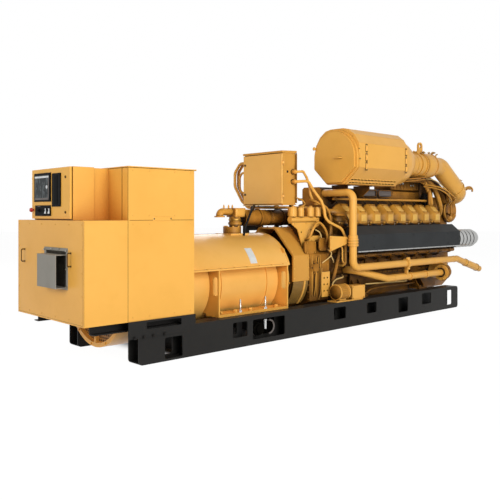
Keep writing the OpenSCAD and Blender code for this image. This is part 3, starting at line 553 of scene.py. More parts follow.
class Kit:
    """Shared small hardware."""

    @staticmethod
    def shell(name: str, grid: Array, finish: "Finish", body: str = "root", wrap: bool = True,
              loop: bool = False) -> bpy.types.Object:
        """One piece from a grid or a stack of them, joined as Skin.add says."""
        return Skin().add(grid, wrap, loop).piece(name, finish, body)

    @staticmethod
    def copies(name: str, shape: Array, places: Array, out: Any, finish: "Finish", body: str = "root",
               wrap: bool = True, loop: bool = False) -> bpy.types.Object:
        """One local shape at one place or many, its height along out, as one piece."""
        return Kit.shell(name, turned(shape, places, frame_for(out)), finish, body, wrap, loop)

    @staticmethod
    def bolts(name: str, places: Array, out: Sequence[float], across: float, height: float, finish: "Finish",
              body: str = "root") -> bpy.types.Object:
        """Hexagon heads on washers at (k, 3) seats, facing out, which is one direction or one for each."""
        return Kit.copies(name, hex_head(across, height), places, out, finish, body)

    @staticmethod
    def lines(name: str, paths: Sequence[Any], radius: float, finish: "Finish") -> bpy.types.Object:
        """Small pipes or leads, each on one smooth curve through its points.

        Args:
            name: the piece's name.
            paths: points of each, in the skid's millimetres.
            radius: of all of them.
            finish: their finish.

        Returns:
            One piece with all of them.
        """
        skin = Skin()
        for path in paths:
            skin.add(carried(smooth_path(rows_at(path)), radius, 10))
        return skin.piece(name, finish)


# -------------------------------------------------------------------- finishes

@dataclass(frozen=True)
class Paint:
    """Sprayed paint: a flow texture, slight cloudiness, a browner tone where cloud and dust meet, and painted shade
    towards recess_shade in gaps and corners.
    """

    name: str
    colour: str
    deep: str
    roughness: float = 0.36
    peel: float = 0.10
    coat: float = 0.06
    gloss: float = 0.24
    spread: float = 0.5
    recess_shade: str = ""
    reach: float = 0.10
    depth: float = 0.9

    def build(self) -> bpy.types.Material:
        """Make the material.

        Returns:
            The finished material.
        """
        g = Graph(self.name)
        cloud = g.noise(1.7, 4.0)
        dust = g.noise(9.0, 6.0)
        fine = g.noise(260.0, 2.0)
        share = cloud.ramp(0.35, 0.75) * self.spread + dust.ramp(0.45, 0.85) * (self.spread * 0.5)
        tone = g.mix(share, linear(self.colour), linear(self.deep))
        # painted shade: darker towards recess_shade where the surface is hidden in gaps and corners
        if self.recess_shade:
            tone = g.mix(g.hollow(self.reach, 0.15, 0.80) * self.depth, tone, linear(self.recess_shade))
        g.set(
            Base_Color=tone,
            Roughness=cloud * 0.10 + dust * 0.08 + (self.roughness - 0.09),
            Normal=g.bump(fine + dust * 0.5, self.peel, 0.0010),
            Specular_IOR_Level=self.gloss,
            Coat_Weight=self.coat,
            Coat_Roughness=0.18,
        )
        return g.material


@dataclass(frozen=True)
class Casting:
    """Painted sand casting: grainy skin, paint browner in blotches, and painted shade towards the floor and in gaps and
    corners.
    """

    name: str
    colour: str
    deep: str
    roughness: float = 0.46
    grain: float = 0.45
    recess_shade: str = "2e1b05"
    reach: float = 0.30

    def build(self) -> bpy.types.Material:
        """Make the material.

        Returns:
            The finished material.
        """
        g = Graph(self.name)
        blotch = g.noise(5.0, 5.0)
        sand = g.noise(150.0, 4.0)
        # painted shade: darker and browner towards the floor
        low = 1 - g.along(2).ramp(0.35, 1.25)
        share = blotch.ramp(0.35, 0.75) * 0.6 + low * 0.45 + sand.ramp(0.5, 0.8) * 0.12
        tone = g.mix(share, linear(self.colour), linear(self.deep))
        g.set(
            # painted shade: darker towards recess_shade in gaps and corners
            Base_Color=g.mix(g.hollow(self.reach, 0.34, 0.97), tone, linear(self.recess_shade)),
            Roughness=blotch * 0.16 + sand * 0.10 + (self.roughness - 0.13),
            Normal=g.bump(sand + blotch * 0.6, self.grain, 0.0018),
            Specular_IOR_Level=0.18,
        )
        return g.material


@dataclass(frozen=True)
class Metal:
    """Bare or plated metal with fine scratches along one way."""

    name: str
    colour: str
    deep: str
    roughness: float = 0.32
    grain: tuple[float, float, float] = (1.0, 1.0, 14.0)

    def build(self) -> bpy.types.Material:
        """Make the material.

        Returns:
            The finished material.
        """
        g = Graph(self.name)
        grain = g.noise(60.0, 5.0, self.grain)
        cloud = g.noise(9.0, 3.0)
        g.set(
            Base_Color=g.mix(grain * 0.5 + cloud * 0.4, linear(self.colour), linear(self.deep)),
            Metallic=1.0,
            Roughness=grain * 0.18 + cloud * 0.10 + (self.roughness - 0.14),
            Normal=g.bump(grain, 0.10, 0.0008),
        )
        return g.material


@dataclass(frozen=True)
class Plastic:
    """Moulded plastic or rubber with a fine grain."""

    name: str
    colour: str
    deep: str
    roughness: float = 0.5
    grain: float = 500.0
    strength: float = 0.12
    gloss: float = 0.25

    def build(self) -> bpy.types.Material:
        """Make the material.

        Returns:
            The finished material.
        """
        g = Graph(self.name)
        fine = g.noise(self.grain, 2.0)
        cloud = g.noise(14.0, 3.0)
        g.set(
            Base_Color=g.mix(cloud.ramp(0.3, 0.7), linear(self.colour), linear(self.deep)),
            Roughness=cloud * 0.12 + (self.roughness - 0.06),
            Normal=g.bump(fine, self.strength, 0.0005),
            Specular_IOR_Level=self.gloss,
        )
        return g.material


@dataclass(frozen=True)
class Screen:
    """Lit picture of a touch screen: dim rows and columns of tiles, in no lettering."""

    name: str
    ground: str
    tile: str
    rows: float = 21.0
    columns: float = 4.0
    width: float = 0.284
    height: float = 0.222

    def build(self) -> bpy.types.Material:
        """Make the material: tiles where two waves are both high, and rows of dim bars in them.

        Returns:
            The finished material.
        """
        g = Graph(self.name)
        column = (g.along(1) * (self.columns / self.width) + 0.15).fraction()
        row = (g.along(2) * (self.rows / self.height)).fraction()
        patch = g.noise(26.0, 1.0, (0.0, 1.0, 0.6)).ramp(0.46, 0.54)
        lit = column.ramp(0.10, 0.16) * (1 - column.ramp(0.80, 0.86)) * row.ramp(0.30, 0.42) * (1 - row.ramp(0.62,
            0.74)) * patch
        tone = g.mix(lit * 0.7, linear(self.ground), linear(self.tile))
        g.set(Base_Color=tone, Roughness=0.30, Specular_IOR_Level=0.08)
        return g.material


@dataclass(frozen=True)
class Mesh:
    """Perforated sheet: round holes in staggered rows in painted metal, the holes coloured dark as painted shade seen
    through them.
    """

    name: str
    colour: str
    hole: str
    pitch: float = 0.034
    across: int = 1

    def build(self) -> bpy.types.Material:
        """Make the material: a hole is where the distance to the nearest point of a staggered lattice is small.

        Returns:
            The finished material.
        """
        g = Graph(self.name)
        y = g.along(self.across) * (1 / self.pitch)
        z = g.along(2) * (1 / (self.pitch * math.sqrt(3)))
        holes = []
        for shift in (0.0, 0.5):
            a = (y + shift).fraction() - 0.5
            b = ((z + shift).fraction() - 0.5) * math.sqrt(3)
            holes.append(1 - (a * a + b * b).ramp(0.085, 0.125))
        hole = holes[0] + holes[1]
        g.set(
            # painted shade: the holes take the dark hole colour
            Base_Color=g.mix(hole, linear(self.colour), linear(self.hole)),
            Roughness=hole * 0.4 + 0.45,
            Normal=g.bump(1 - hole, 0.5, 0.0015),
        )
        return g.material


class Finish(Enum):
    """Every finish of the set."""

    # recess_shade in the paints and castings below is painted shade in gaps and corners
    YELLOW = Paint("yellow_enamel", "f3b553", "e7a948", recess_shade="7a5013")
    CABINET = Paint("cabinet_enamel", "f3b553", "e7a948", recess_shade="a0560a", reach=0.55, depth=1.0)
    # painted light: a lighter copy of the yellow enamel for the alternator's brighter barrel
    BARREL = Paint("lit_barrel_enamel", "f6bc60", "e9ad4c", 0.34, 0.10, 0.06, 0.26)
    # painted highlight: lighter yellow on the covers' pressed fronts and crowns
    FRONT = Casting("cover_highlight_paint", "edbd5e", "d29a3e", 0.34, 0.2, "6b4712", 0.05)
    DOOR = Paint("yellow_door_enamel", "f3b64f", "ebad47", 0.34, 0.05, 0.04, 0.2)
    # painted shade: a darker copy of the yellow enamel for the junction box and the coupling guard
    JUNCTION = Paint("shaded_junction_enamel", "dd9f43", "cc8f38", recess_shade="6a420e")
    # painted light: a lighter copy of the yellow enamel for the junction box door
    LEAF = Paint("lit_junction_door_enamel", "fdc46c", "f3b75a", 0.34, 0.05, 0.04, 0.2)
    SHADE = Casting("yellow_engine", "cb8a31", "74490f")
    # painted shade: a darker copy of the yellow paint for parts that lie in shade
    ROCKER = Casting("yellow_half_shade", "e3a243", "b8812f", 0.40, 0.25, "4a2e0b")
    # painted shade: a darker yellow for the valve covers, which lie in the air cleaner's shade
    CROWN = Casting("shaded_cover_castings", "d2963a", "96651d", 0.38, 0.25, "331f04", 0.14)
    # painted shade: dark brown for grips, latch plates and small parts that read as shadow
    BRONZE = Casting("brown_shade_paint", "7d5a25", "4c3410", 0.45, 0.1)
    SKID = Paint("black_frame_paint", "272624", "201f1e", 0.42, 0.16, 0.0, 0.12)
    COVER = Paint("black_heat_paint", "343637", "2a2b2c", 0.55, 0.25, 0.0, 0.10)
    GREY = Paint("grey_hood_paint", "9a968c", "86827a", 0.50, 0.12, 0.0, 0.15)
    PALEPAINT = Paint("cream_line_paint", "e3c27c", "cfa95f", 0.35, 0.05, 0.05)
    SLATE = Paint("slate_paint", "77706c", "5e5754", 0.50, 0.1, 0.0, 0.15)
    SEAM = Plastic("seam_shadow", "6b4a18", "54380f", 0.8, gloss=0.05)
    # painted shade: the dark sheet in the cable hood's mouth
    SOOT = Plastic("hood_mouth_shade", "45413a", "38342e", 0.8, gloss=0.02)
    VOID = Plastic("deep_shadow", "0f0d0a", "090806", 0.9, gloss=0.02)
    DARK = Plastic("blackened_steel", "1f1c19", "161412", 0.40, gloss=0.15)
    SILVER = Metal("brushed_sheet", "c4c4c2", "929290", 0.38)
    STEEL = Metal("zinc_steel", "b9b8b2", "8e8d86", 0.36)
    CHROME = Metal("bright_screw", "e4e3df", "bcbab4", 0.2)
    LATCH = Metal("plated_latch", "b98f4a", "8a6526", 0.42)
    BRASS = Metal("brass_union", "b98a3e", "8a6220", 0.38)
    BRASSPAINT = Paint("gland_enamel", "e2a548", "c98b35", 0.35, 0.05, 0.05)
    PANEL = Plastic("panel_plastic", "101112", "18191a", 0.45, gloss=0.03)
    LENS = Plastic("smoked_lens", "080808", "0d0d0d", 0.35, 60.0, 0.02, 0.02)
    PALE = Plastic("pale_plastic", "e4e6e4", "d2d5d6", 0.35, 300.0, 0.05)
    RED = Plastic("red_knob_plastic", "c2281f", "a81e18", 0.3, 500.0, 0.05)
    RUBBER = Plastic("hose_rubber", "1f1d1b", "161413", 0.6, 400.0, 0.25, 0.12)
    SCREEN = Screen("screen_picture", "2a2f30", "8a9296")
    # the hole colours of both sheets are painted shade seen through the holes
    GRILLE = Mesh("perforated_sheet", "a87428", "1a1208")
    GUARDMESH = Mesh("guard_mesh", "a37a34", "4a3410", 0.016, 0)

    @property
    def material(self) -> bpy.types.Material:
        """The finish's material, made once."""
        held = bpy.data.materials.get(self.value.name)
        return held or self.value.build()


SLOTS: dict[str, Finish] = {
    "yellow_paint": Finish.YELLOW, "skid_black": Finish.SKID, "cover_black": Finish.COVER,
    "hood_grey": Finish.GREY, "ribbed_silver": Finish.SILVER, "panel_black": Finish.PANEL,
    "stop_red": Finish.RED, "bare_steel": Finish.STEEL,
}
OWN: dict[str, Finish] = {
    "flywheel_housing": Finish.SHADE, "engine_block": Finish.SHADE, "oil_pan": Finish.SHADE,
    "engine_feet": Finish.SHADE, "front_housing": Finish.SHADE, "cylinder_heads": Finish.SHADE,
    "intake_plenum": Finish.SHADE, "cleaner_supports": Finish.SHADE, "turbocharger": Finish.SHADE,
    "fuel_pipe": Finish.SHADE, "fuel_inlet": Finish.ROCKER, "gas_manifold": Finish.ROCKER,
    "turbo_pipes": Finish.SHADE, "engine_hoses": Finish.SHADE, "duct_clamps": Finish.BRASSPAINT,
    "cabinet_handles": Finish.BRONZE, "prelube_pump": Finish.YELLOW, "tall_cabinet": Finish.CABINET,
    "control_box": Finish.CABINET, "alternator_body": Finish.BARREL, "junction_box": Finish.JUNCTION,
    "junction_box_door": Finish.LEAF, "coupling_guard": Finish.JUNCTION,
    "ignition_boxes": Finish.SLATE, "control_door": Finish.DOOR, "selector_knob": Finish.PANEL,
}


def dress(name: str, finish: Finish) -> None:
    """Give a CAD node its finish in every material slot.

    Args:
        name: the node's name.
        finish: its finish.
    """
    node = frame["nodes"][name]
    if not node.material_slots:
        node.data.materials.append(finish.material)
    for place in node.material_slots:
        place.material = finish.material


def dress_frame() -> None:
    """Give every CAD node the finish of its slot, and the engine's own castings theirs."""
    for row in frame["record"]["subparts"]:
        name = row["node"]
        dress(name, OWN.get(name, SLOTS[row["material_slot"]]))
        LOG.info("dressed %s", name)


# ---------------------------------------------------------------- sub-assemblies

@dataclass
class ControlBox:
    """The controller's cabinet: screen, alarm panel, rockers, locks and door trim. Places in millimetres."""

    door_x: float = -482.0
    screen_x: float = -491.0
    plate_x: float = -489.0
    lock_y: float = -232.0
    lock_z: tuple[float, ...] = (1634.0, 1330.0)
    rocker_y: tuple[float, ...] = (126.0, 59.0)
    rocker_z: float = 1341.0
    facing: tuple[float, float, float] = (-1.0, 0.0, 0.0)

    def slip(self, name: str, y: float, z: float, width: float, height: float, x: float, thick: float,
             finish: Finish, corner: float = 4.0, crown: float = 0.0) -> None:
        """Lay one flat rounded piece on the door.

        Args:
            name: the piece's name.
            y: its middle across.
            z: its middle up.
            width: across.
            height: up.
            x: the surface that it lies on.
            thick: its thickness.
            finish: its finish.
            corner: radius of its corners.
            crown: extra height in its middle.
        """
        outline = rounded(width / 1000, height / 1000, corner / 1000)
        grid = padded_plate(outline, thick / 1000, min(thick * 0.4, 1.5) / 1000, crown / 1000)
        Kit.copies(name, grid, at(x, y, z), self.facing, finish, "control_door")

    def screen(self) -> None:
        """Touch screen in its bezel: dark picture, pale header and side, grey footer and a round pointer."""
        self.slip("screen_bezel", 201, 1555, 318, 252, self.screen_x, 3.0, Finish.PANEL, 10)
        self.slip("screen_glass", 201, 1553, 284, 222, self.screen_x - 2.6, 1.6, Finish.SCREEN, 3)
        self.slip("screen_header", 203, 1648, 276, 17, self.screen_x - 4.0, 0.8, Finish.PALE, 2)
        self.slip("screen_side", 68, 1552, 15, 196, self.screen_x - 4.0, 0.7, Finish.SLATE, 2)
        self.slip("screen_footer", 203, 1451, 276, 17, self.screen_x - 4.0, 0.7, Finish.SLATE, 2)
        dial = spun([(0, -.001), (.016, -.001), (.016, .0012), (.011, .002), (0, .0022)], 24)
        Kit.copies("screen_pointer", dial, at(self.screen_x - 4.2, 101, 1556), self.facing, Finish.PALE, "control_door")

    def alarms(self) -> None:
        """Upright alarm panel: a lens strip in a rim, with four screws."""
        self.slip("alarm_rim", -70.5, 1526, 158, 290, self.plate_x, 2.4, Finish.PANEL, 6)
        self.slip("alarm_lens", -66, 1526, 74, 262, self.plate_x - 2.2, 1.8, Finish.LENS, 8, 0.8)
        corners = grid_at(self.plate_x - 2.0, (-141, 0), (1392, 1660))
        Kit.bolts("alarm_screws", corners, self.facing, 0.007, 0.003, Finish.PANEL, "control_door")

    def switches(self) -> None:
        """Two pale rockers in black frames, dished along their length."""
        for number, y in enumerate(self.rocker_y):
            s = np.linspace(-1, 1, 13)
            u, v = np.meshgrid(np.linspace(-1, 1, 9), s, indexing="ij")
            rise = (0.006 + 0.010 * np.abs(v - 0.25) ** 1.5) * (1 - np.abs(u) ** 6) * (1 - np.abs(v) ** 10)
            grid = pack(u * 0.016, v * 0.026, rise)
            skin = Skin().add(turned(grid, at(-490, y, self.rocker_z), frame_for(self.facing)), wrap=False)
            skin.add(turned(grid * np.array([1.0, 1.0, 0.0]), at(-490, y, self.rocker_z), frame_for(self.facing)),
                wrap=False)
            skin.piece(f"rocker_{number + 1}", Finish.PALE, "control_door")
            self.slip(f"rocker_frame_{number + 1}", y, self.rocker_z, 44, 64, -489, 3.0, Finish.PANEL, 6)
        self.slip("switch_marks", 269, 1385, 60, 5, -489, 0.6, Finish.SLATE, 2)

    def locks(self) -> None:
        """Quarter-turn locks: a dished collar with a slotted core."""
        collar = spun([(0, 0), (.012, 0), (.012, .003), (.010, .006), (.008, .005), (.007, .002), (0, .002)], 28)
        core = padded_plate(rounded(.004, .011, .002), .005, .001)
        for number, z in enumerate(self.lock_z):
            axes = frame_for(self.facing)
            place = at(self.door_x, self.lock_y, z)
            Skin().add(turned(collar, place, axes)).add(turned(core, place, axes)).piece(
                f"door_lock_{number + 1}", Finish.BRONZE, "control_door")

    def trim(self) -> None:
        """Dark gap between door and box on the near side, and the folded edge of the door."""
        gap = grid_at(-464, -315.2, np.linspace(1266, 1719, 9))
        Kit.shell("door_gap", ribbon(gap, AHEAD, NEAR, 0.007, 0.0008), Finish.SEAM)
        edge = grid_at(-482.5, -313, np.linspace(1274, 1718, 9))
        Kit.shell("door_edge_fold", ribbon(edge, FAR, BEHIND, 0.004, 0.003), Finish.YELLOW, "control_door")

    def build(self) -> None:
        """Make every piece of the cabinet."""
        self.screen()
        self.alarms()
        self.switches()
        self.locks()
        self.trim()


@dataclass
class Cabinets:
    """Low and tall sheet-metal cabinets: seams, service covers, hood, handles' feet, louvres, screws. Millimetres."""

    low_x: float = -527.0
    side_y: float = 630.0
    seam_z: float = 1260.0

    def seam(self, name: str, start: Sequence[float], end: Sequence[float], across: Sequence[float],
             out: Sequence[float], width: float = 3.0) -> None:
        """A sheet joint as a thin dark line.

        Args:
            name: the piece's name.
            start: one end.
            end: the other end.
            across: direction of its width.
            out: direction of its thickness.
            width: its width.
        """
        ends = rows_at([start, end])
        path = ends[0] + np.linspace(0, 1, 7)[:, None] * (ends[1] - ends[0])
        Kit.shell(name, ribbon(path, across, out, width / 1000, 0.0008), Finish.SEAM)

    def seams(self) -> None:
        """Joints of both cabinets on the near and far sides and the rear."""
        for side, sign in SIDES:
            y = sign * (self.side_y + 0.2)
            out = (0.0, sign, 0.0)
            self.seam(f"tall_seam_{side}", (-92, y, self.seam_z), (592, y, self.seam_z), UP, out)
            self.seam(f"low_edge_{side}", (-524, y, 396), (-524, y, 1254), AHEAD, out, 2.0)
            self.seam(f"joint_{side}", (-110, y, 392), (-110, y, 1712), AHEAD, out, 3.5)
            self.seam(f"end_strip_{side}", (-110.4, sign * 534, 1264), (-110.4, sign * 534, 1712), FAR, BEHIND, 4.0)
        self.seam("lid_line", (-112, -632.4, 1715), (624, -632.4, 1715), UP, NEAR, 5.0)
        self.seam("lid_line_rear", (-110.6, -628, 1715), (-110.6, 628, 1715), UP, BEHIND, 5.0)

    def service_cover(self) -> None:
        """Small cover plate over the seam of the tall cabinet's side."""
        grid = cushion(0.205, 0.040, 0.006, 12.0, 14)
        for side, sign in SIDES:
            axes = frame_for((0, sign, 0))
            place = at(246, sign * 629.8, 1272)
            back = grid * np.array([1, 1, 0])
            Skin().add(turned(grid, place, axes), wrap=False).add(turned(back, place, axes), wrap=False).piece(
                f"service_cover_{side}", Finish.YELLOW)
            spots = grid_at((156, 336), sign * 634, 1272)
            Kit.bolts(f"service_screws_{side}", spots, (0, sign, 0), 0.010, 0.005, Finish.DARK)

    def hood(self) -> None:
        """Cable hood: fasteners of its flange, and a dark sheet in the cables' mouth behind it as painted shade."""
        spots = rows_at([(-538, y, z) for y in (-352, 59) for z in (700, 850, 1004)] + [(-538, y, 1016)
            for y in (-215, -80)])
        Kit.bolts("hood_screws", spots, BEHIND, 0.013, 0.007, Finish.STEEL)
        mouth = padded_plate(rounded(0.375, 0.300, 0.006), 0.001, 0.0004)
        Kit.copies("cable_way_shade", mouth, at(-528, -150, 850), BEHIND, Finish.SOOT)

    def fasteners(self) -> None:
        """Screws round the low cabinet's rear cover and along the tall one's sides."""
        rear = [(self.low_x, y, z) for y in (-600, 600) for z in (430, 640, 830, 1020, 1225)]
        rear += [(self.low_x, y, z) for y in (-380, -130, 130, 380) for z in (430, 1225)]
        Kit.bolts("rear_cover_screws", rows_at(rear), BEHIND, 0.009, 0.004, Finish.YELLOW)
        for side, sign in SIDES:
            spots = [(x, sign * 630, z) for x in (-60, 110, 380, 560) for z in (425, 1226, 1300, 1690)]
            Kit.bolts(f"side_screws_{side}", rows_at(spots), (0, sign, 0), 0.009, 0.004, Finish.YELLOW)
        forward = [(602, y, z) for y in (-560, 560) for z in (820, 1000, 1200, 1420, 1640)]
        Kit.bolts("front_wall_screws", rows_at(forward), AHEAD, 0.009, 0.004, Finish.YELLOW)

    def handles(self) -> None:
        """Round feet where the grips meet the door."""
        foot = spun([(0, 0), (.009, 0), (.009, .003), (.007, .005), (0, .005)], 24)
        places = grid_at(self.low_x, (-415, 483), (876, 988))
        Kit.copies("handle_feet", foot, places, BEHIND, Finish.BRONZE)

    def vents(self) -> None:
        """Louvres in the tall cabinet's far side, where its fans breathe out."""
        s, t = np.meshgrid(np.linspace(-1, 1, 9), np.linspace(0, 1, 7), indexing="ij")
        rise = 0.012 * np.sin(math.pi * t) ** 0.7 * t * (1 - s ** 8)
        grid = pack(s * 0.07, t * 0.030, rise)
        flat = grid * np.array([1, 1, 0])
        spots = rows_at([(x, 630, 1500 + 45 * k) for x in (120, 320) for k in range(4)])
        axes = frame_for(FAR)
        Skin().add(turned(grid, spots, axes), wrap=False).add(turned(flat, spots, axes), wrap=False).piece(
            "far_louvres", Finish.YELLOW)

    def build(self) -> None:
        """Make every piece of both cabinets."""
        self.seams()
        self.service_cover()
        self.hood()
        self.fasteners()
        self.handles()
        self.vents()


@dataclass
class Skid:
    """Fasteners, weld beads and the pieces inside the windows of the steel skid."""

    bolt_x: tuple[float, ...] = (-53.0, 44.0, 142.0, 260.0)
    bolt_z: float = 250.0
    bead_r: float = 4.0

    def riser_bolts(self) -> None:
        """Dark bolts through the risers into both rails."""
        for side, sign in SIDES:
            spots = grid_at(self.bolt_x, sign * 649, self.bolt_z)
            Kit.bolts(f"riser_bolts_{side}", spots, (0, sign, 0), 0.022, 0.010, Finish.DARK)

    def bead(self, name: str, start: Sequence[float], end: Sequence[float], finish: Finish) -> None:
        """A weld bead: a tube whose radius waves like beads laid one over another.

        Args:
            name: the piece's name.
            start: one end.
            end: the other end.
            finish: its finish.
        """
        ends = rows_at([start, end])
        length = np.linalg.norm(ends[1] - ends[0])
        count = max(24, int(length / 0.008))
        s = np.linspace(0, 1, count)
        path = ends[0] + s[:, None] * (ends[1] - ends[0])
        radius_at = self.bead_r / 1000 * (1 + 0.12 * np.sin(s * length / 0.007))
        Kit.shell(name, carried(path, radius_at, 6), finish)

    def welds(self) -> None:
        """Beads along the alternator's base strips and where the crossmembers meet the rails."""
        for side, sign in SIDES:
            self.bead(f"base_bead_{side}", (990, sign * 528, 299), (1955, sign * 528, 299), Finish.YELLOW)
            for x in (640, 1880, 2480, 3500, 4200):
                self.bead(f"member_bead_{side}_{x}", (x, sign * 455, 12), (x, sign * 455, 140), Finish.SKID)

    def hold_downs(self) -> None:
        """Base bolts of the alternator and the engine's feet, on both sides."""
        spots = [(x, s * 470, 322) for s in (-1, 1) for x in (1060, 1253, 1460, 1830)]
        Kit.bolts("alternator_nuts", rows_at(spots), UP, 0.034, 0.026, Finish.YELLOW)
        feet = [(x, s * 470, 320) for s in (-1, 1) for x in (3290, 3370, 4600, 4680)]
        Kit.bolts("engine_nuts", rows_at(feet), UP, 0.028, 0.022, Finish.SHADE)

    def jacking(self) -> None:
        """Bright jacking screws on the alternator's base strip: threaded rod, nut and rounded tip."""
        z = np.linspace(0, 0.125, 90)
        radius = 0.0095 + 0.0011 * np.sin(z / 0.0035 * 2 * math.pi)
        rod = spun(pack(np.r_[0, radius, 0.006, 0], np.r_[0, z, 0.131, 0.133]), 20)
        spots = rows_at([(x, s * 500, 322) for s in (-1, 1) for x in (1292, 1645)])
        up = frame_for(UP)
        Skin().add(turned(rod, spots, up)).add(turned(hex_head(0.030, 0.020), spots, up)).piece("jacking_screws",
            Finish.CHROME)

    def window_parts(self) -> None:
        """Drain valve and hose ring behind the long window of each rail."""
        for side, sign in SIDES:
            y = sign * 560
            axes = frame_for((0, sign, 0))
            body = spun([(0, 0), (.062, 0), (.066, .01), (.066, .03), (.05, .038), (.048, .06), (.03, .066),
                (0, .066)], 40)
            Kit.shell(f"drain_body_{side}", turned(body, at(1500, y - sign * 40, 130), axes), Finish.VOID)
            post = spun([(0, 0), (.013, 0), (.013, .085), (.018, .088), (.018, .098), (0, .1)], 24)
            Kit.copies(f"drain_stem_{side}", post, at(1585, y, 128), UP, Finish.PALE)
            sweep = np.linspace(-0.5 * math.pi, 0.5 * math.pi, 24)
            arc = at(1640, y, 142) + 0.07 * pack(np.cos(sweep), 0, np.sin(sweep))
            Kit.shell(f"hose_ring_{side}", carried(arc, 0.009, 12), Finish.SLATE)

    def build(self) -> None:
        """Make every piece of the skid."""
        self.riser_bolts()
        self.welds()
        self.hold_downs()
        self.jacking()
        self.window_parts()


@dataclass
class Alternator:
    """Generator: end grille, bearing cover, hoops, screws, lifting tabs and bare plate. Millimetres."""

    shaft_z: float = 592.0
    shell_r: float = 508.0
    hub_r: float = 130.0
    end_x: float = -30.0

    def grille(self) -> None:
        """Perforated dished sheet behind the spokes of the end: height = dish * sin(pi * share of radius)."""
        share = np.linspace(0, 1, 14)
        radius = (self.hub_r + 2 + (self.shell_r - 42 - self.hub_r) * share) / 1000
        dish = 0.012 * np.sin(math.pi * share)
        face = spun(pack(radius, dish), 72)
        back = spun(pack(radius[::-1], dish[::-1] - 0.002), 72)
        grid = np.concatenate([face, back])
        Kit.copies("end_grille", grid, at(self.end_x + 0.5, 0, self.shaft_z), BEHIND, Finish.GRILLE, loop=True)

    def hub(self) -> None:
        """Domed bearing cover with a ring of screws."""
        dome = spun([(0, -.002), (.112, -.002), (.112, .010), (.104, .018), (.07, .024), (.05, .034), (.02, .038),
            (0, .038)], 48)
        Kit.copies("bearing_cover", dome, at(-70, 0, self.shaft_z), BEHIND, Finish.SHADE)
        t = circle(8) + 0.2
        spots = at(-80, 0, self.shaft_z) + 0.094 * pack(0, np.cos(t), np.sin(t))
        Kit.bolts("bearing_screws", spots, BEHIND, 0.013, 0.008, Finish.DARK)

    def rim_bolts(self) -> None:
        """Screws round the far end and round the bell at the drive end."""
        t = circle(12) + 0.13
        spots = at(-70, 0, self.shaft_z) + 0.488 * pack(0, np.cos(t), np.sin(t))
        Kit.bolts("end_screws", spots, BEHIND, 0.018, 0.010, Finish.YELLOW)
        bell = at(2150, 0, self.shaft_z) + 0.372 * pack(0, np.cos(t), np.sin(t))
        Kit.bolts("bell_screws", bell - np.array([0.012, 0, 0]), AHEAD, 0.018, 0.010, Finish.YELLOW)

    def bands(self) -> None:
        """Rolled hoops where the wrapper sheet of the shell ends, over the top from ledge to ledge."""
        a = np.linspace(math.radians(23), math.radians(157), 60)
        for name, x in (("front", 2028.0), ("rear", 640.0)):
            out = pack(0, np.cos(a), np.sin(a))
            path = at(x, 0, self.shaft_z) + self.shell_r / 1000 * out
            Kit.shell(f"shell_hoop_{name}", ribbon(path, AHEAD, out, 0.020, 0.004), Finish.YELLOW)
        joint = grid_at(np.linspace(620, 2036, 11), 0, self.shaft_z + self.shell_r + 0.3)
        Kit.shell("shell_joint", ribbon(joint, FAR, UP, 0.006, 0.002), Finish.SEAM)

    def ledges(self) -> None:
        """Cap screws along the ledges, and a lifting tab on each side by the coupling."""
        for side, sign in SIDES:
            spots = grid_at(np.linspace(680, 1900, 8), sign * 512, 774)
            Kit.bolts(f"ledge_screws_{side}", spots, UP, 0.016, 0.010, Finish.YELLOW)
            tab = padded_plate(rounded(0.060, 0.090, 0.026), 0.014, 0.003)
            out = unit(np.array([0, sign * 0.78, 0.62]))
            place = at(1992, 0, self.shaft_z) + 0.500 * out
            axes = np.stack([np.cross(out, AHEAD), out, np.array([1.0, 0, 0])])
            Kit.shell(f"lifting_tab_{side}", turned(tab, place, axes), Finish.YELLOW)

    def top_plate(self) -> None:
        """Bare pale data plate bent over the shell's near shoulder."""
        a = np.linspace(math.radians(134.5), math.radians(155.8), 12)
        out = pack(0, np.cos(a), np.sin(a))
        path = at(1520, 0, self.shaft_z) + (self.shell_r + 0.2) / 1000 * out
        Kit.shell("bare_plate", ribbon(path, AHEAD, out, 0.094, 0.0012), Finish.PALE)

    def build(self) -> None:
        """Make every piece of the alternator."""
        self.grille()
        self.hub()
        self.rim_bolts()
        self.bands()
        self.ledges()
        self.top_plate()


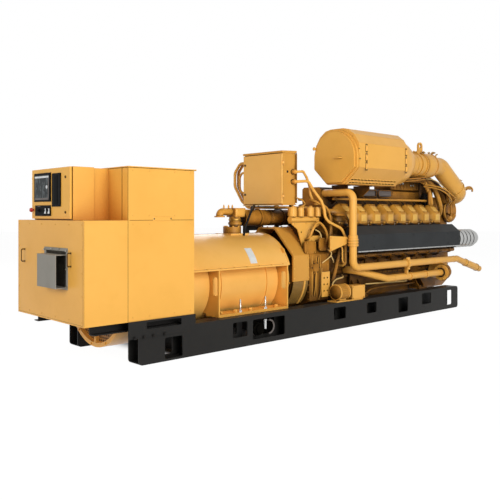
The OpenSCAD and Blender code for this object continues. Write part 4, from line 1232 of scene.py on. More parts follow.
@dataclass
class Drive:
    """Coupling guard, bell and flywheel housing: screws, ribs, lids, hoses and the bell's screens. Millimetres."""

    shaft_z: float = 592.0
    guard: tuple[tuple[float, float], ...] = ((-425, 560), (-425, 850), (-130, 1160), (130, 1160), (425, 850),
        (425, 560))

    def guard_bolts(self) -> None:
        """Screws down both edges of every flat of the guard."""
        corners = np.array(self.guard)
        for number, (p, q) in enumerate(zip(corners[:-1], corners[1:])):
            share = np.linspace(0.12, 0.88, 3)[:, None]
            line = p + share * (q - p)
            way = unit(q - p)
            out = np.array([0.0, -way[1], way[0]])
            spots = np.concatenate([
                np.concatenate([np.full((3, 1), x), line], axis=1) for x in (2164.0, 2396.0)
            ])
            Kit.bolts(f"guard_screws_{number + 1}", rows_at(spots), out, 0.016, 0.009, Finish.YELLOW)

    def housing_bolts(self) -> None:
        """Flange bolts of the flywheel housing, following its outline on the engine's side and the rear."""
        corners = np.array([(-410, -250), (-410, 240), (-135, 545), (135, 545), (410, 240), (410, -250)], float)
        pieces = [p + np.linspace(0, 1, n, endpoint=False)[:, None] * (q - p)
                  for p, q, n in zip(corners[:-1], corners[1:], (6, 5, 3, 5, 6))]
        line = np.concatenate(pieces)
        spots = pack(2410.0, line[:, 0], line[:, 1] + self.shaft_z)
        Kit.bolts("housing_bolts", rows_at(spots[np.abs(line[:, 0]) > 150]), BEHIND, 0.024, 0.015, Finish.SHADE)

    def side_ribs(self) -> None:
        """Cast ribs and a round timing cap on the housing's near and far sides: ridges with a round crown."""
        for side, sign in SIDES:
            skin = Skin()
            for x in (2450, 2520, 2590):
                z = np.linspace(360, 838, 24)
                path = rows_at(pack(float(x), sign * 430.0, z))
                lift = 1 - np.abs(np.linspace(-1, 1, 24)) ** 6
                skin.add(carried(path, 0.003 + 0.009 * lift, 10))
            skin.piece(f"housing_ribs_{side}", Finish.ROCKER)
            boss = spun([(0, -.01), (.075, -.01), (.075, .004), (.068, .012), (.052, .014), (.048, .022), (0, .024)],
                40)
            Kit.copies(f"timing_cap_{side}", boss, at(2500, sign * 430, 700), (0, sign, 0), Finish.SHADE)
            t = circle(6)
            ring = at(2500, sign * 442, 700) + 0.060 * pack(np.cos(t), 0, np.sin(t))
            Kit.bolts(f"timing_screws_{side}", ring, (0, sign, 0), 0.012, 0.008, Finish.DARK)

    def dressing(self) -> None:
        """Hoses, lines, lids and an elbow round the flywheel housing, behind the valve bracket."""
        lay = Kit.lines
        lay("housing_hoses", [[(2420, -330, 1010), (2436, -400, 1040), (2470, -425, 1130), (2540, -425, 1205),
            (2620, -420, 1200), (2690, -430, 1120), (2716, -432, 1033), (2700, -410, 960)], [(2560, -300, 1480),
            (2603, -400, 1440), (2709, -425, 1383), (2768, -425, 1289), (2798, -415, 1150), (2790, -405, 1040)]],
            0.016, Finish.ROCKER)
        lay("housing_lines", [
            [(2480, -436, 380), (2492, -445, 470), (2500, -445, 600), (2530, -440, 700), (2560, -436, 820)],
            [(2560, -436, 330), (2580, -452, 420), (2584, -455, 560), (2600, -448, 690)],
            [(2300, -300, 1380), (2330, -385, 1400), (2373, -392, 1427), (2330, -390, 1470), (2290, -330, 1500)],
        ], 0.008, Finish.ROCKER)
        skin = Skin()
        lid = padded_plate(rounded(0.190, 0.150, 0.03), 0.022, 0.006, 0.006)
        for x, z, wide in ((2440, 930, 1.0), (2660, 960, 0.8), (2660, 780, 0.8)):
            skin.add(turned(lid * np.array([wide, 1, 1]), at(x, -401, z), frame_for(NEAR)))
        skin.piece("housing_lids", Finish.SHADE)
        spots = rows_at([(x + u, -422, z + v) for x, z in ((2440, 930), (2660, 960), (2660, 780)) for u in (-66, 66)
            for v in (-56, 56)])
        Kit.bolts("lid_bolts", spots, NEAR, 0.015, 0.010, Finish.ROCKER)
        elbow = [(2850, -250, 1330), (2890, -330, 1335), (2960, -372, 1325), (3050, -392, 1290), (3100, -396, 1230),
            (3105, -396, 1160)]
        lay("bank_elbow", [elbow], 0.042, Finish.ROCKER)

    def mesh_screens(self) -> None:
        """Perforated screens round the bell below the guard, each an arc of radius 425 mm, with a bar across each."""
        for side, sign in SIDES:
            a = np.radians(np.linspace(4.5, 43.5, 24))
            out = pack(0, sign * np.cos(a), -np.sin(a))
            path = at(2274, 0, self.shaft_z) + 0.4235 * out
            Kit.shell(f"bell_screen_{side}", ribbon(path, AHEAD, out, 0.244, 0.003), Finish.GUARDMESH)
            bar = at(2334, 0, self.shaft_z) + 0.4260 * out
            Kit.shell(f"screen_bar_{side}", ribbon(bar, AHEAD, out, 0.026, 0.008), Finish.YELLOW)

    def bolting_plates(self) -> None:
        """Dark depths of the six holes in each bolting plate."""
        for side, sign in SIDES:
            spots = rows_at([(x, sign * 431, self.shaft_z + z) for x in (2650, 2708) for z in (-170, -95, -20)])
            disc = spun([(0, 0), (.0108, 0), (.0108, .001), (0, .0012)], 20)
            Kit.copies(f"plate_holes_{side}", disc, spots, (0, sign, 0), Finish.VOID)

    def build(self) -> None:
        """Make every piece of the drive line."""
        self.guard_bolts()
        self.housing_bolts()
        self.side_ribs()
        self.dressing()
        self.mesh_screens()
        self.bolting_plates()


@dataclass
class Engine:
    """Vee engine: covers, heads, inspection doors, rails, pan, small lines. Sizes in millimetres."""

    shaft_z: float = 592.0
    head_x: float = 2940.0
    pitch: float = 281.0
    count: int = 8
    cover_run: tuple[float, float] = (3106.0, 5449.0)

    @property
    def stations(self) -> Array:
        """Where each cylinder's cover starts."""
        return self.head_x + self.pitch * np.arange(self.count)

    def on_each(self, x: float, y: float, z: float) -> Array:
        """One place on every cylinder, given from its cover's start."""
        return rows_at(pack(self.stations + x, y, z))

    def cover_shell(self, sign: float) -> Array:
        """One cast cover's surface in metres, from its cylinder's start.

        The section, a softened polygon, is scaled towards its inner foot by a share that grows over the first half of
        the length, so each cover's rear side slants back and leaves a deep gap before the next.

        Args:
            sign: -1 for the near bank, 1 for the far one.

        Returns:
            Grid (stations, points of the section, 3).
        """
        section = softened([(262, 1196), (439, 1196), (439, 1324), (326, 1441), (296, 1441), (238, 1394)], 16)
        foot = np.array([262.0, 1196.0])
        share = np.array([0.0, 0.60, 0.66, 0.74, 0.84, 0.93, 0.985, 1.0, 1.0, 0.99, 0.95, 0.0])
        along = np.array([4.0, 4.0, 10.0, 34.0, 60.0, 86.0, 108.0, 126.0, 246.0, 256.0, 262.0, 262.0])
        flat = foot + share[:, None, None] * (section - foot)[None]
        x = np.broadcast_to(along[:, None], flat.shape[:2])
        return pack(x, sign * flat[..., 0], flat[..., 1]) / 1000

    def covers(self) -> None:
        """Valve covers in place of their plain solids: shells, flanges, bolts, pressed fronts and plugs."""
        flange = cushion(0.268, 0.030, 0.020, 10.0, 10)
        for side, sign in SIDES:
            out = (0.0, sign, 0.0)
            feet = self.on_each(135, sign * 419, 1206)
            shells = Skin().add(turned(self.cover_shell(sign), self.on_each(0, 0, 0), np.eye(3)))
            shells.add(turned(flange, feet, frame_for(out)), wrap=False)
            shells.add(turned(flange * np.array([1, 1, 0]), feet, frame_for(out)), wrap=False)
            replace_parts(shells.piece(f"rocker_covers_{side}", Finish.CROWN, crease=30.0), f"valve_covers_{side}")
            press = cushion(0.104, 0.088, 0.008, 6.0, 12)
            Kit.copies(f"cover_fronts_{side}", press, self.on_each(186, sign * 438.6, 1264), out, Finish.FRONT,
                wrap=False)
            spots = np.concatenate([self.on_each(x, sign * 438, 1203) for x in (24, 86)])
            Kit.bolts(f"cover_bolts_{side}", spots, out, 0.018, 0.012, Finish.CROWN)
            slope = unit(np.array([0.0, sign * 117.0, 113.0]))
            crown = cushion(0.104, 0.096, 0.008, 5.0, 12)
            Kit.copies(f"cover_crowns_{side}", crown, self.on_each(186, sign * 382.5, 1382), slope, Finish.FRONT,
                wrap=False)
            tops = np.concatenate([self.on_each(x, sign * y, z) for x in (136, 240) for y, z in ((424, 1339),
                (342, 1423))])
            Kit.bolts(f"cover_screws_{side}", tops, slope, 0.015, 0.011, Finish.CROWN)
            inner = unit(np.array([0.0, sign * -47.0, 58.0]))
            cap = spun([(0, -.003), (.030, -.003), (.030, .012), (.026, .018), (.016, .022), (.014, .030), (0, .032)],
                28)
            Kit.copies(f"plug_caps_{side}", cap, self.on_each(186, sign * 268, 1418), inner, Finish.SHADE)
            leads = [[(x + 130, sign * 252, 1494), (x + 132, sign * 262, 1470), (x + 150, sign * 272, 1446),
                (x + 172, sign * 276, 1430)] for x in self.stations]
            Kit.lines(f"spark_leads_{side}", leads, 0.007, Finish.RUBBER)

    def heads(self) -> None:
        """Rings of the ports under the covers, with two bolts at each."""
        for side, sign in SIDES:
            out = unit(np.array([0.0, sign * 0.86, -0.5]))
            ring = spun([(0, -.004), (.044, -.004), (.044, .010), (.036, .014), (.020, .015), (0, .015)], 28)
            Kit.copies(f"port_rings_{side}", ring, self.on_each(135, sign * 400, 1128), out, Finish.SHADE)
            spots = np.concatenate([self.on_each(x, sign * 412, 1150) for x in (40, 230)])
            Kit.bolts(f"port_bolts_{side}", spots, out, 0.020, 0.014, Finish.SHADE)

    def doors(self) -> None:
        """Crankcase doors along the block below the black covers: domed ovals with a ring of bolts."""
        t = circle(8) + math.pi / 8
        for side, sign in SIDES:
            out = (0.0, sign, 0.0)
            door = padded_plate(rounded(0.205, 0.150, 0.052), 0.020, 0.006, 0.010)
            places = grid_at(self.stations + 150, sign * 329.5, 725)
            Kit.copies(f"crank_doors_{side}", door, places, out, Finish.SHADE)
            ring = pack(0.088 * np.cos(t), sign * 0.020, 0.060 * np.sin(t))
            spots = (places[:, None, :] + ring[None]).reshape(-1, 3)
            Kit.bolts(f"door_bolts_{side}", spots, out, 0.015, 0.009, Finish.SHADE)

    def black_covers(self) -> None:
        """Edge bolts, fold lines and end screws of the long black covers."""
        for side, sign in SIDES:
            out = (0.0, sign, 0.0)
            along = np.linspace(3160, 5400, 15)
            rail = grid_at(along, sign * 585, 861.5)
            Kit.bolts(f"rail_bolts_{side}", rail, out, 0.010, 0.006, Finish.STEEL)
            fold = grid_at(np.linspace(*self.cover_run, 21), sign * 582.3, 1063)
            Kit.shell(f"cover_fold_{side}", ribbon(fold, UP, out, 0.006, 0.0012), Finish.COVER)
            stays = grid_at((3420, 4280, 5130), sign * 582, (905, 1040))
            Kit.bolts(f"cover_stays_{side}", stays, out, 0.014, 0.007, Finish.COVER)
            cap = rows_at([(5453, sign * y, z) for y, z in ((425, 900), (560, 900), (560, 1045), (450, 1130))])
            Kit.bolts(f"cover_end_{side}", cap, AHEAD, 0.012, 0.006, Finish.COVER)
            strip = grid_at(np.linspace(*self.cover_run, 40), sign * 585.2, 861.5)
            Kit.shell(f"rail_face_{side}", ribbon(strip, UP, out, 0.012, 0.0025), Finish.SILVER)

    def sleeves(self) -> None:
        """Clamps at the ends of the pleated ducts."""
        for side, sign in SIDES:
            lo, hi = BOXES[f"ribbed_duct_{side}"]
            middle = np.array([5456 / 1000 - SKID_REACH, sign * 0.444, (lo[2] + hi[2]) / 2])
            Kit.copies(f"sleeve_clamp_{side}", hoop(0.130, 0.016, 0.004), middle, AHEAD, Finish.STEEL, loop=True)

    def pan(self) -> None:
        """Flange of the sump with its bolts."""
        for side, sign in SIDES:
            edge = grid_at(np.linspace(2760, 5240, 40), sign * 301, 556)
            Kit.shell(f"pan_flange_{side}", ribbon(edge, UP, (0, sign, 0), 0.030, 0.022), Finish.SHADE)
            spots = grid_at(np.linspace(2800, 5200, 22), sign * 323, 556)
            Kit.bolts(f"pan_bolts_{side}", spots, (0, sign, 0), 0.014, 0.009, Finish.SHADE)

    def front(self) -> None:
        """Flange bolts and cover of the front housing, and the damper's bolts."""
        corners = np.array([(-285, -220), (-285, 425), (-212, 540), (212, 540), (285, 425), (285, -220)], float)
        line = np.concatenate([p + np.linspace(0, 1, n, endpoint=False)[:, None] * (q - p)
                               for p, q, n in zip(corners[:-1], corners[1:], (6, 2, 4, 2, 6))])
        spots = pack(5600.0, line[:, 0], line[:, 1] + self.shaft_z)
        Kit.bolts("front_bolts", rows_at(spots), AHEAD, 0.020, 0.013, Finish.SHADE)
        plate = padded_plate(rounded(0.36, 0.16, 0.05), 0.018, 0.005, 0.004)
        Kit.copies("gear_cover", plate, at(5600, 0, 960), AHEAD, Finish.SHADE)
        t = circle(6)
        heads = at(5724, 0, self.shaft_z) + 0.085 * pack(0, np.cos(t), np.sin(t))
        Kit.bolts("damper_bolts", heads, AHEAD, 0.026, 0.016, Finish.DARK)

    def manifold(self) -> None:
        """Unions on the gas manifolds, and the lids and tube frames of the ignition boxes."""
        for side, sign in SIDES:
            nut = hex_head(0.046, 0.022, 1.05)
            spots = self.on_each(130, sign * 252, 1497)
            Kit.copies(f"gas_unions_{side}", nut, spots, (0, sign, 0), Finish.BRASS)
            for number, x in enumerate((3640.0, 4000.0)):
                frame_line = [
                    (x - 14, sign * 238, 1545), (x - 14, sign * 240, 1622), (x + 120, sign * 240, 1624),
                    (x + 270, sign * 240, 1620), (x + 286, sign * 240, 1585), (x + 262, sign * 244, 1540),
                    (x + 120, sign * 244, 1532), (x + 6, sign * 242, 1534), (x - 12, sign * 238, 1548)
                ]
                Kit.lines(f"box_tube_{side}_{number + 1}", [frame_line], 0.007, Finish.SHADE)
                lid = cushion(0.250, 0.056, 0.006, 8.0, 12)
                Kit.copies(f"box_lid_{side}_{number + 1}", lid, at(x + 135, sign * 229.8, 1583), (0, sign, 0),
                    Finish.SLATE, wrap=False)

    def lines(self) -> None:
        """Small oil, sensing and air lines on the near side, as they run between the housings."""
        lay = Kit.lines
        lay("sensing_lines", [
            [(2740, -405, 905), (2736, -470, 871), (2724, -485, 835), (2680, -480, 800), (2593, -462, 750)],
            [(2724, -482, 838), (2736, -480, 818), (2770, -475, 775), (2808, -450, 745)],
        ], 0.006, Finish.PALEPAINT)
        lay("oil_return", [[(2960, -400, 950), (2951, -425, 900), (2896, -430, 744), (2819, -430, 551),
            (2815, -380, 500)]], 0.024, Finish.SHADE)
        lay("level_pipe", [[(2918, -402, 960), (2924, -480, 916), (2928, -486, 828), (2939, -480, 756),
            (2993, -450, 729), (3020, -332, 720)]], 0.010, Finish.YELLOW)
        lay("pump_outlet", [[(2755, -500, 420), (2768, -470, 492), (2878, -430, 537), (3026, -410, 553),
            (3102, -340, 570)]], 0.009, Finish.PALEPAINT)
        lay("bright_line", [[(3385, -478, 452), (3500, -480, 448), (3800, -480, 441), (4228, -480, 430),
            (4300, -440, 440)]], 0.008, Finish.PALEPAINT)
        lay("pan_lines", [[(3400, -420, 330), (3430, -450, 334), (3552, -450, 373), (3935, -450, 384),
            (4273, -448, 383), (4560, -400, 380)], [(3500, -380, 345), (3700, -400, 405), (4100, -410, 420),
            (4500, -400, 425)]], 0.013, Finish.SHADE)
        lay("air_lines", [
            [(5020, -300, 1812), (5150, -330, 1800), (5330, -360, 1730), (5500, -380, 1610), (5600, -330, 1500)],
            [(2600, -352, 1130), (2640, -380, 1100), (2655, -390, 1050), (2640, -400, 1000), (2600, -402, 985)],
        ], 0.007, Finish.PALEPAINT)

    def oil_rail(self) -> None:
        """Oil rail below the black covers: a cast pipe with a boss and two bolts at each cylinder, and branches down to
        the block.
        """
        for side, sign in SIDES:
            s = np.linspace(0, 1, 400)
            x = 3120 + 2320 * s
            near = np.abs((x - self.head_x - 135 + self.pitch / 2) % self.pitch - self.pitch / 2)
            radius = 0.030 + 0.012 * np.clip(1 - (near / 34) ** 4, 0, 1)
            path = rows_at(pack(x, sign * 470.0, 806.0))
            Kit.shell(f"oil_rail_{side}", carried(path, radius, 16), Finish.SHADE)
            spots = np.concatenate([self.on_each(135 + u, sign * 510, 806 + v) for u in (-16, 16) for v in (-14, 14)])
            spots = spots[spots[:, 0] < 5.40 - SKID_REACH]
            spots = spots[spots[:, 0] > 3.12 - SKID_REACH]
            Kit.bolts(f"oil_rail_bolts_{side}", spots, (0, sign, 0), 0.013, 0.012, Finish.BRONZE)
            drops = [[(x0 + 205, sign * 470, 800), (x0 + 205, sign * 455, 770), (x0 + 205, sign * 400, 742),
                (x0 + 205, sign * 340, 738)] for x0 in self.stations[1:]]
            Kit.lines(f"oil_branches_{side}", drops, 0.013, Finish.SHADE)

    def wires(self) -> None:
        """Dark wire hoops in the valleys of both pleated ducts, a pleat apart."""
        for side, sign in SIDES:
            lo, hi = BOXES[f"ribbed_duct_{side}"]
            places = np.array([((5502 + 98 * k) / 1000 - SKID_REACH, sign * 0.444, (lo[2] + hi[2]) / 2)
                for k in range(5)])
            Kit.copies(f"sleeve_wires_{side}", hoop(0.1165, 0.010, 0.004), places, AHEAD, Finish.DARK, loop=True)

    def wiring(self) -> None:
        """Harness along each bank above the black covers: a looped black conduit with clips."""
        for side, sign in SIDES:
            s = np.linspace(0, 1, 140)
            path = rows_at(pack(3000 + 2180 * s, sign * (424 + 8 * np.sin(s * 50)), 1180 + 6 * np.sin(s * 50 + 1)))
            radius = 0.010 + 0.0008 * np.sin(s * 900)
            Kit.shell(f"harness_{side}", carried(path, radius, 10), Finish.RUBBER)
            Kit.copies(f"harness_clips_{side}", hoop(0.011, 0.012, 0.003, 16), self.on_each(-5, sign * 424, 1180)[1:],
                AHEAD, Finish.STEEL, loop=True)

    def build(self) -> None:
        """Make every piece of the engine."""
        for make in (self.covers, self.heads, self.doors, self.black_covers, self.sleeves, self.pan, self.front,
                     self.manifold, self.lines, self.oil_rail, self.wires, self.wiring):
            make()


@dataclass
class AirIntake:
    """Air cleaner and duct: louvres, latches, cap, creases, clamps and lifting eye bolts. Millimetres."""

    x: float = 2940.0
    length: float = 1000.0
    y: float = -391.0
    z: float = 1985.0
    radius: float = 331.0
    foot_x: float = 5810.0
    foot_z: float = 1580.0

    def louvres(self) -> None:
        """Two rows of slots on the lower slopes, each a pressed lip over a dark gap."""
        for side, sign in SIDES:
            start = np.array([self.y + sign * self.radius, self.z - 130.0])
            end = np.array([self.y + sign * (self.radius - 193.0), self.z - 317.0])
            way = (end - start) / np.linalg.norm(end - start)
            out = np.array([0.0, sign * abs(way[1]), -abs(way[0])])
            s, t = np.meshgrid(np.linspace(-1, 1, 9), np.linspace(0, 1, 6), indexing="ij")
            lip = pack(s * 0.024, 0.008 + t * 0.010, 0.006 * np.sin(math.pi * t ** 0.7) * (1 - s ** 6))
            spots = np.array([
                (x, *(start + (end - start) * share))
                for share in (0.72, 0.90) for x in np.linspace(self.x + 45, self.x + self.length - 95, 14)
            ])
            axes = np.stack([np.array([1.0, 0, 0]), np.cross(out, AHEAD), out])
            Kit.shell(f"louvre_lips_{side}", turned(lip, rows_at(spots), axes), Finish.YELLOW, wrap=False)
            gap = padded_plate(rounded(0.050, 0.015, 0.004), 0.0016, 0.0005)
            Kit.shell(f"louvre_gaps_{side}", turned(gap, rows_at(spots), axes), Finish.VOID)

    def latches(self) -> None:
        """Toggle latches down the near side near both ends: hook plate and lever."""
        for number, x in enumerate((3081.0, 3890.0)):
            for row, z in enumerate((2085.0, 1976.0, 1872.0)):
                y = self.y - self.radius
                axes = frame_for(NEAR)
                lever = cushion(0.030, 0.070, 0.014, 4.0, 9)
                plate = padded_plate(rounded(0.040, 0.100, 0.008), 0.003, 0.001)
                # the hook plates are brown as painted shadow round the levers
                Kit.shell(f"latch_plate_{number + 1}_{row + 1}", turned(plate, at(x, y, z), axes), Finish.BRONZE)
                Kit.shell(f"latch_{number + 1}_{row + 1}", turned(lever, at(x, y - 3, z), axes), Finish.YELLOW,
                    wrap=False)

    def cap(self) -> None:
        """The cap's handle, knob and a ring of small clips on its seam."""
        lay = Kit.lines
        lay("cap_handle", [[(2878, -400, 1976), (2856, -408, 1975), (2850, -430, 1973), (2850, -490, 1973),
                                  (2856, -512, 1974), (2878, -520, 1975)]], 0.007, Finish.YELLOW)
        knob = spun([(0, -.002), (.016, -.002), (.016, .006), (.009, .010), (.009, .018), (.020, .022), (.022, .030),
            (.016, .036), (0, .037)], 28)
        Kit.copies("cap_knob", knob, at(2882, -105, 2106), BEHIND, Finish.YELLOW)
        a = np.radians([185, 165, 135, 105, 75, 45, 15, -5])
        ring = at(2950, self.y, self.z) + 0.337 * pack(0, np.cos(a), np.sin(a))
        out = pack(0, np.cos(a), np.sin(a))
        clip = padded_plate(rounded(0.024, 0.012, 0.004), 0.006, 0.002)
        Kit.copies("cap_clips", clip, ring, out, Finish.BRONZE)

    def seams(self) -> None:
        """Creases of the body: welded joints along the top and the near side."""
        for number, (y, z) in enumerate(((self.y - self.radius - 0.2, self.z + 158), (self.y - self.radius + 66,
                self.z + 262.6), (self.y - self.radius - 0.2, self.z - 130))):
            path = grid_at(np.linspace(self.x + 26, self.x + self.length - 2, 21), y, z)
            out = unit(np.array([0.0, -1.0, 0.6 if z > self.z else -0.6]))
            Kit.shell(f"cleaner_crease_{number + 1}", ribbon(path, np.cross(out, AHEAD), out, 0.005, 0.0012),
                Finish.YELLOW)

    def t_bolt(self, name: str, centre: Array, axis: Array, radius: float, lean: float) -> None:
        """A band clamp's bolt: two lugs, the threaded bolt and its nut, at an angle round the band.

        Args:
            name: the piece's name.
            centre: of the band.
            axis: of the duct.
            radius: of the band.
            lean: degrees round the band, 90 is its highest point.
        """
        axis = unit(np.asarray(axis, float))
        side = unit(np.cross((0.0, 0.0, 1.0), axis))
        up = np.cross(axis, side)
        a = math.radians(lean)
        out = math.cos(a) * side + math.sin(a) * up
        way = -math.sin(a) * side + math.cos(a) * up
        place = centre + (radius + 0.010) * out
        lug = padded_plate(rounded(0.020, 0.034, 0.007), 0.014, 0.003)
        axes = np.stack([axis, out, way])
        skin = Skin().add(turned(lug, place - way * 0.030, axes)).add(turned(lug, place + way * 0.020, axes))
        rod = np.linspace(-0.055, 0.060, 24)
        skin.add(carried(place + rod[:, None] * way[None], 0.004 + 0.0005 * np.sin(rod * 3000), 10))
        skin.add(turned(hex_head(0.014, 0.012), place + way * 0.036, np.stack([axis, -out, way])))
        skin.piece(name, Finish.LATCH)

    def clamps(self) -> None:
        """Bolts of the hose clamps, the elbow's band with its bolt and hooked handle, the duct's bead and sensors."""
        for number, x in enumerate((4717.0, 4933.0)):
            self.t_bolt(f"clamp_bolt_{number + 1}", at(x, self.y, self.z), np.array([1.0, 0, 0]), 0.168, 100)
        low = at(self.foot_x, self.y, self.foot_z)
        way = unit(at(self.foot_x, self.y, self.foot_z) - at(5215, self.y, 1985))
        place = low - way * 0.185
        Kit.copies("elbow_band", hoop(0.1295, 0.024, 0.007), place, way, Finish.YELLOW, loop=True)
        self.t_bolt("elbow_band_bolt", place, way, 0.137, 92)
        hook = [(5840, 1630), (5920, 1684), (5990, 1712), (6060, 1722), (6120, 1712), (6152, 1684), (6146, 1652)]
        bar = [(5960, 1676), (6030, 1694), (6100, 1690)]
        Kit.lines("elbow_band_handle", [[(x, self.y, z) for x, z in line] for line in (hook, bar)], 0.014,
            Finish.ROCKER)
        bead = turned(hoop(0.1518, 0.008, 0.004), at(4470, self.y, self.z), frame_for(AHEAD))
        Kit.shell("duct_bead", bead, Finish.YELLOW, loop=True)
        Kit.lines("duct_sensors", [
            [(5010, -391, 2132), (5012, -391, 2160), (5040, -391, 2180), (5100, -391, 2178)],
            [(5120, -391, 2100), (5125, -391, 2145), (5160, -391, 2160)],
        ], 0.010, Finish.LATCH)

    def eye(self) -> None:
        """Bolts of the lifting eye's base."""
        spots = grid_at((4612, 4766), (-420, -362), 2168)
        Kit.bolts("eye_bolts", spots, UP, 0.018, 0.011, Finish.YELLOW)

    def build(self) -> None:
        """Make every piece of the intake."""
        for make in (self.louvres, self.latches, self.cap, self.seams, self.clamps, self.eye):
            make()


@dataclass
class JunctionBox:
    """Terminal box: latches, door fold, gland nuts, blanking plug, seal and floor screws. Millimetres."""

    door_x: float = 2077.0
    latch_z: tuple[float, ...] = (1540.0, 1885.0)
    gland_y: float = 349.0
    ring_y: float = 318.0


    def door(self) -> None:
        """Latches and the stiffening fold of the door."""
        collar = spun([(0, 0), (.014, 0), (.014, .003), (.011, .005), (.006, .004), (0, .004)], 24)
        spots = grid_at(self.door_x, 288, self.latch_z)
        Kit.copies("box_latches", collar, spots, BEHIND, Finish.DARK, "junction_door")
        fold = grid_at(self.door_x, -306, np.linspace(1433, 1986, 9))
        Kit.shell("box_door_fold", ribbon(fold, FAR, BEHIND, 0.005, 0.0015), Finish.YELLOW, "junction_door")

    def glands(self) -> None:
        """Locknuts and sealing rings of the glands, near and far, with one blanking plug."""
        for side, sign, spots in (("near", -1.0, ((2252, 1678), (2252, 1789))),
                                  ("far", 1.0, ((2190, 1925), (2245, 1925), (2218, 1812), (2218, 1570)))):
            places = rows_at([(x, sign * self.gland_y, z) for x, z in spots])
            nut = hex_head(0.044, 0.020, 1.02)
            Kit.copies(f"gland_nuts_{side}", nut, places, (0, sign, 0), Finish.BRASSPAINT)
            ring = hoop(0.026, 0.006, 0.004, 24)
            seats = rows_at([(x, sign * self.ring_y, z) for x, z in spots])
            Kit.copies(f"gland_rings_{side}", ring, seats, (0, sign, 0), Finish.DARK, loop=True)
        plug = spun([(0, -.002), (.013, -.002), (.013, .004), (.009, .007), (0, .008)], 20)
        Kit.copies("box_plug", plug, at(2169, -315, 1790), NEAR, Finish.DARK)

    def edges(self) -> None:
        """Rear rim's dark seal, a pale strip along the floor's edge as painted highlight, and its screws."""
        seal = grid_at(2298, -331.4, np.linspace(1440, 2006, 9))
        Kit.shell("box_seal", ribbon(seal, AHEAD, NEAR, 0.012, 0.002), Finish.SEAM)
        # painted highlight: a pale strip along the floor's lit edge
        bright = grid_at(2068, np.linspace(-316, 316, 13), 1412)
        Kit.shell("floor_edge_highlight", ribbon(bright, UP, BEHIND, 0.008, 0.002), Finish.PALEPAINT)
        screws = grid_at((2120, 2280), (-280, 280), 1415)
        Kit.bolts("box_floor_screws", screws, (0, 0, -1), 0.014, 0.008, Finish.YELLOW)

    def build(self) -> None:
        """Make every piece of the terminal box."""
        self.door()
        self.glands()
        self.edges()


@dataclass
class GasTrain:
    """Gas valves, bracket, fuel inlet, supply pipe and conduit: rims, screws and flanges. Millimetres."""

    valve_x: tuple[float, ...] = (2226.0, 2354.0, 2518.0, 2646.0)
    y: float = -340.0
    low: float = 1284.0
    high: float = 1390.0

    def valves(self) -> None:
        """Rolled rims of the four chambers and small screws on their tops."""
        skin = Skin()
        places = grid_at(self.valve_x, self.y, (self.low + 6, self.high - 6))
        skin.add(turned(hoop(0.0425, 0.008, 0.003, 36), places, frame_for(UP)), loop=True)
        skin.piece("chamber_rims", Finish.YELLOW)
        t = circle(4) + 0.4
        spots = np.array([(x + 32 * math.cos(a), self.y + 32 * math.sin(a), self.high) for x in self.valve_x
            for a in t])
        Kit.bolts("chamber_screws", rows_at(spots), UP, 0.010, 0.006, Finish.LATCH)

    def conduit(self) -> None:
        """Black conduit from the junction box's floor down to the shell beside the fuel inlet."""
        Kit.lines("black_conduit", [[
            (2114, 178, 1440), (2096, 156, 1412), (1990, 50, 1399), (1890, -51, 1386), (1810, -124, 1363),
            (1757, -150, 1324), (1712, -152, 1237), (1675, -152, 1161), (1662, -146, 1078)]], 0.013, Finish.RUBBER)

    def bracket(self) -> None:
        """Bolts in the valve bracket and its ear, and dark holes in its leg."""
        spots = rows_at([(x, -352, z) for x, z in ((2359, 1106), (2530, 1058), (2530, 997))])
        disc = spun([(0, 0), (.0085, 0), (.0085, .0015), (0, .0018)], 20)
        Kit.copies("bracket_holes", disc, spots, NEAR, Finish.VOID)
        screws = rows_at([(x, -352, z) for x, z in ((2250, 1203), (2440, 1205), (2645, 1245), (2420, 960),
            (2530, 945))])
        Kit.bolts("bracket_screws", screws, NEAR, 0.013, 0.008, Finish.YELLOW)

    def inlet(self) -> None:
        """Flange bolts of the inlet, its neck's clamp and ring, and the supply pipe's flange bolts."""
        t = circle(8) + 0.2
        spots = at(1620, 0, 1172) + 0.086 * pack(np.cos(t), np.sin(t), 0)
        Kit.bolts("inlet_bolts", spots, UP, 0.018, 0.012, Finish.YELLOW)
        Kit.copies("inlet_clamp", hoop(0.067, 0.018, 0.005), at(1662, 0, 1250), UP, Finish.LATCH, loop=True)
        box = cushion(0.130, 0.080, 0.008, 8.0, 12)
        Kit.copies("inlet_cover", box, at(1677, -74, 1330), NEAR, Finish.YELLOW, wrap=False)
        for number, x in enumerate((2012.0, 2372.0)):
            ring = at(x, 0, 1272) + 0.092 * pack(0, np.cos(t), np.sin(t))
            Kit.bolts(f"supply_bolts_{number + 1}", ring, AHEAD, 0.014, 0.010, Finish.SHADE)
        nipple = spun([(0, 0), (.010, 0), (.010, .022), (.006, .026), (.006, .036), (0, .037)], 16)
        Kit.copies("inlet_nipples", nipple, rows_at([(1500, 0, 1378), (1560, -10, 1378), (1640, 20, 1378)]), UP,
            Finish.YELLOW)

    def build(self) -> None:
        """Make every piece of the gas train."""
        self.valves()
        self.bracket()
        self.inlet()
        self.conduit()


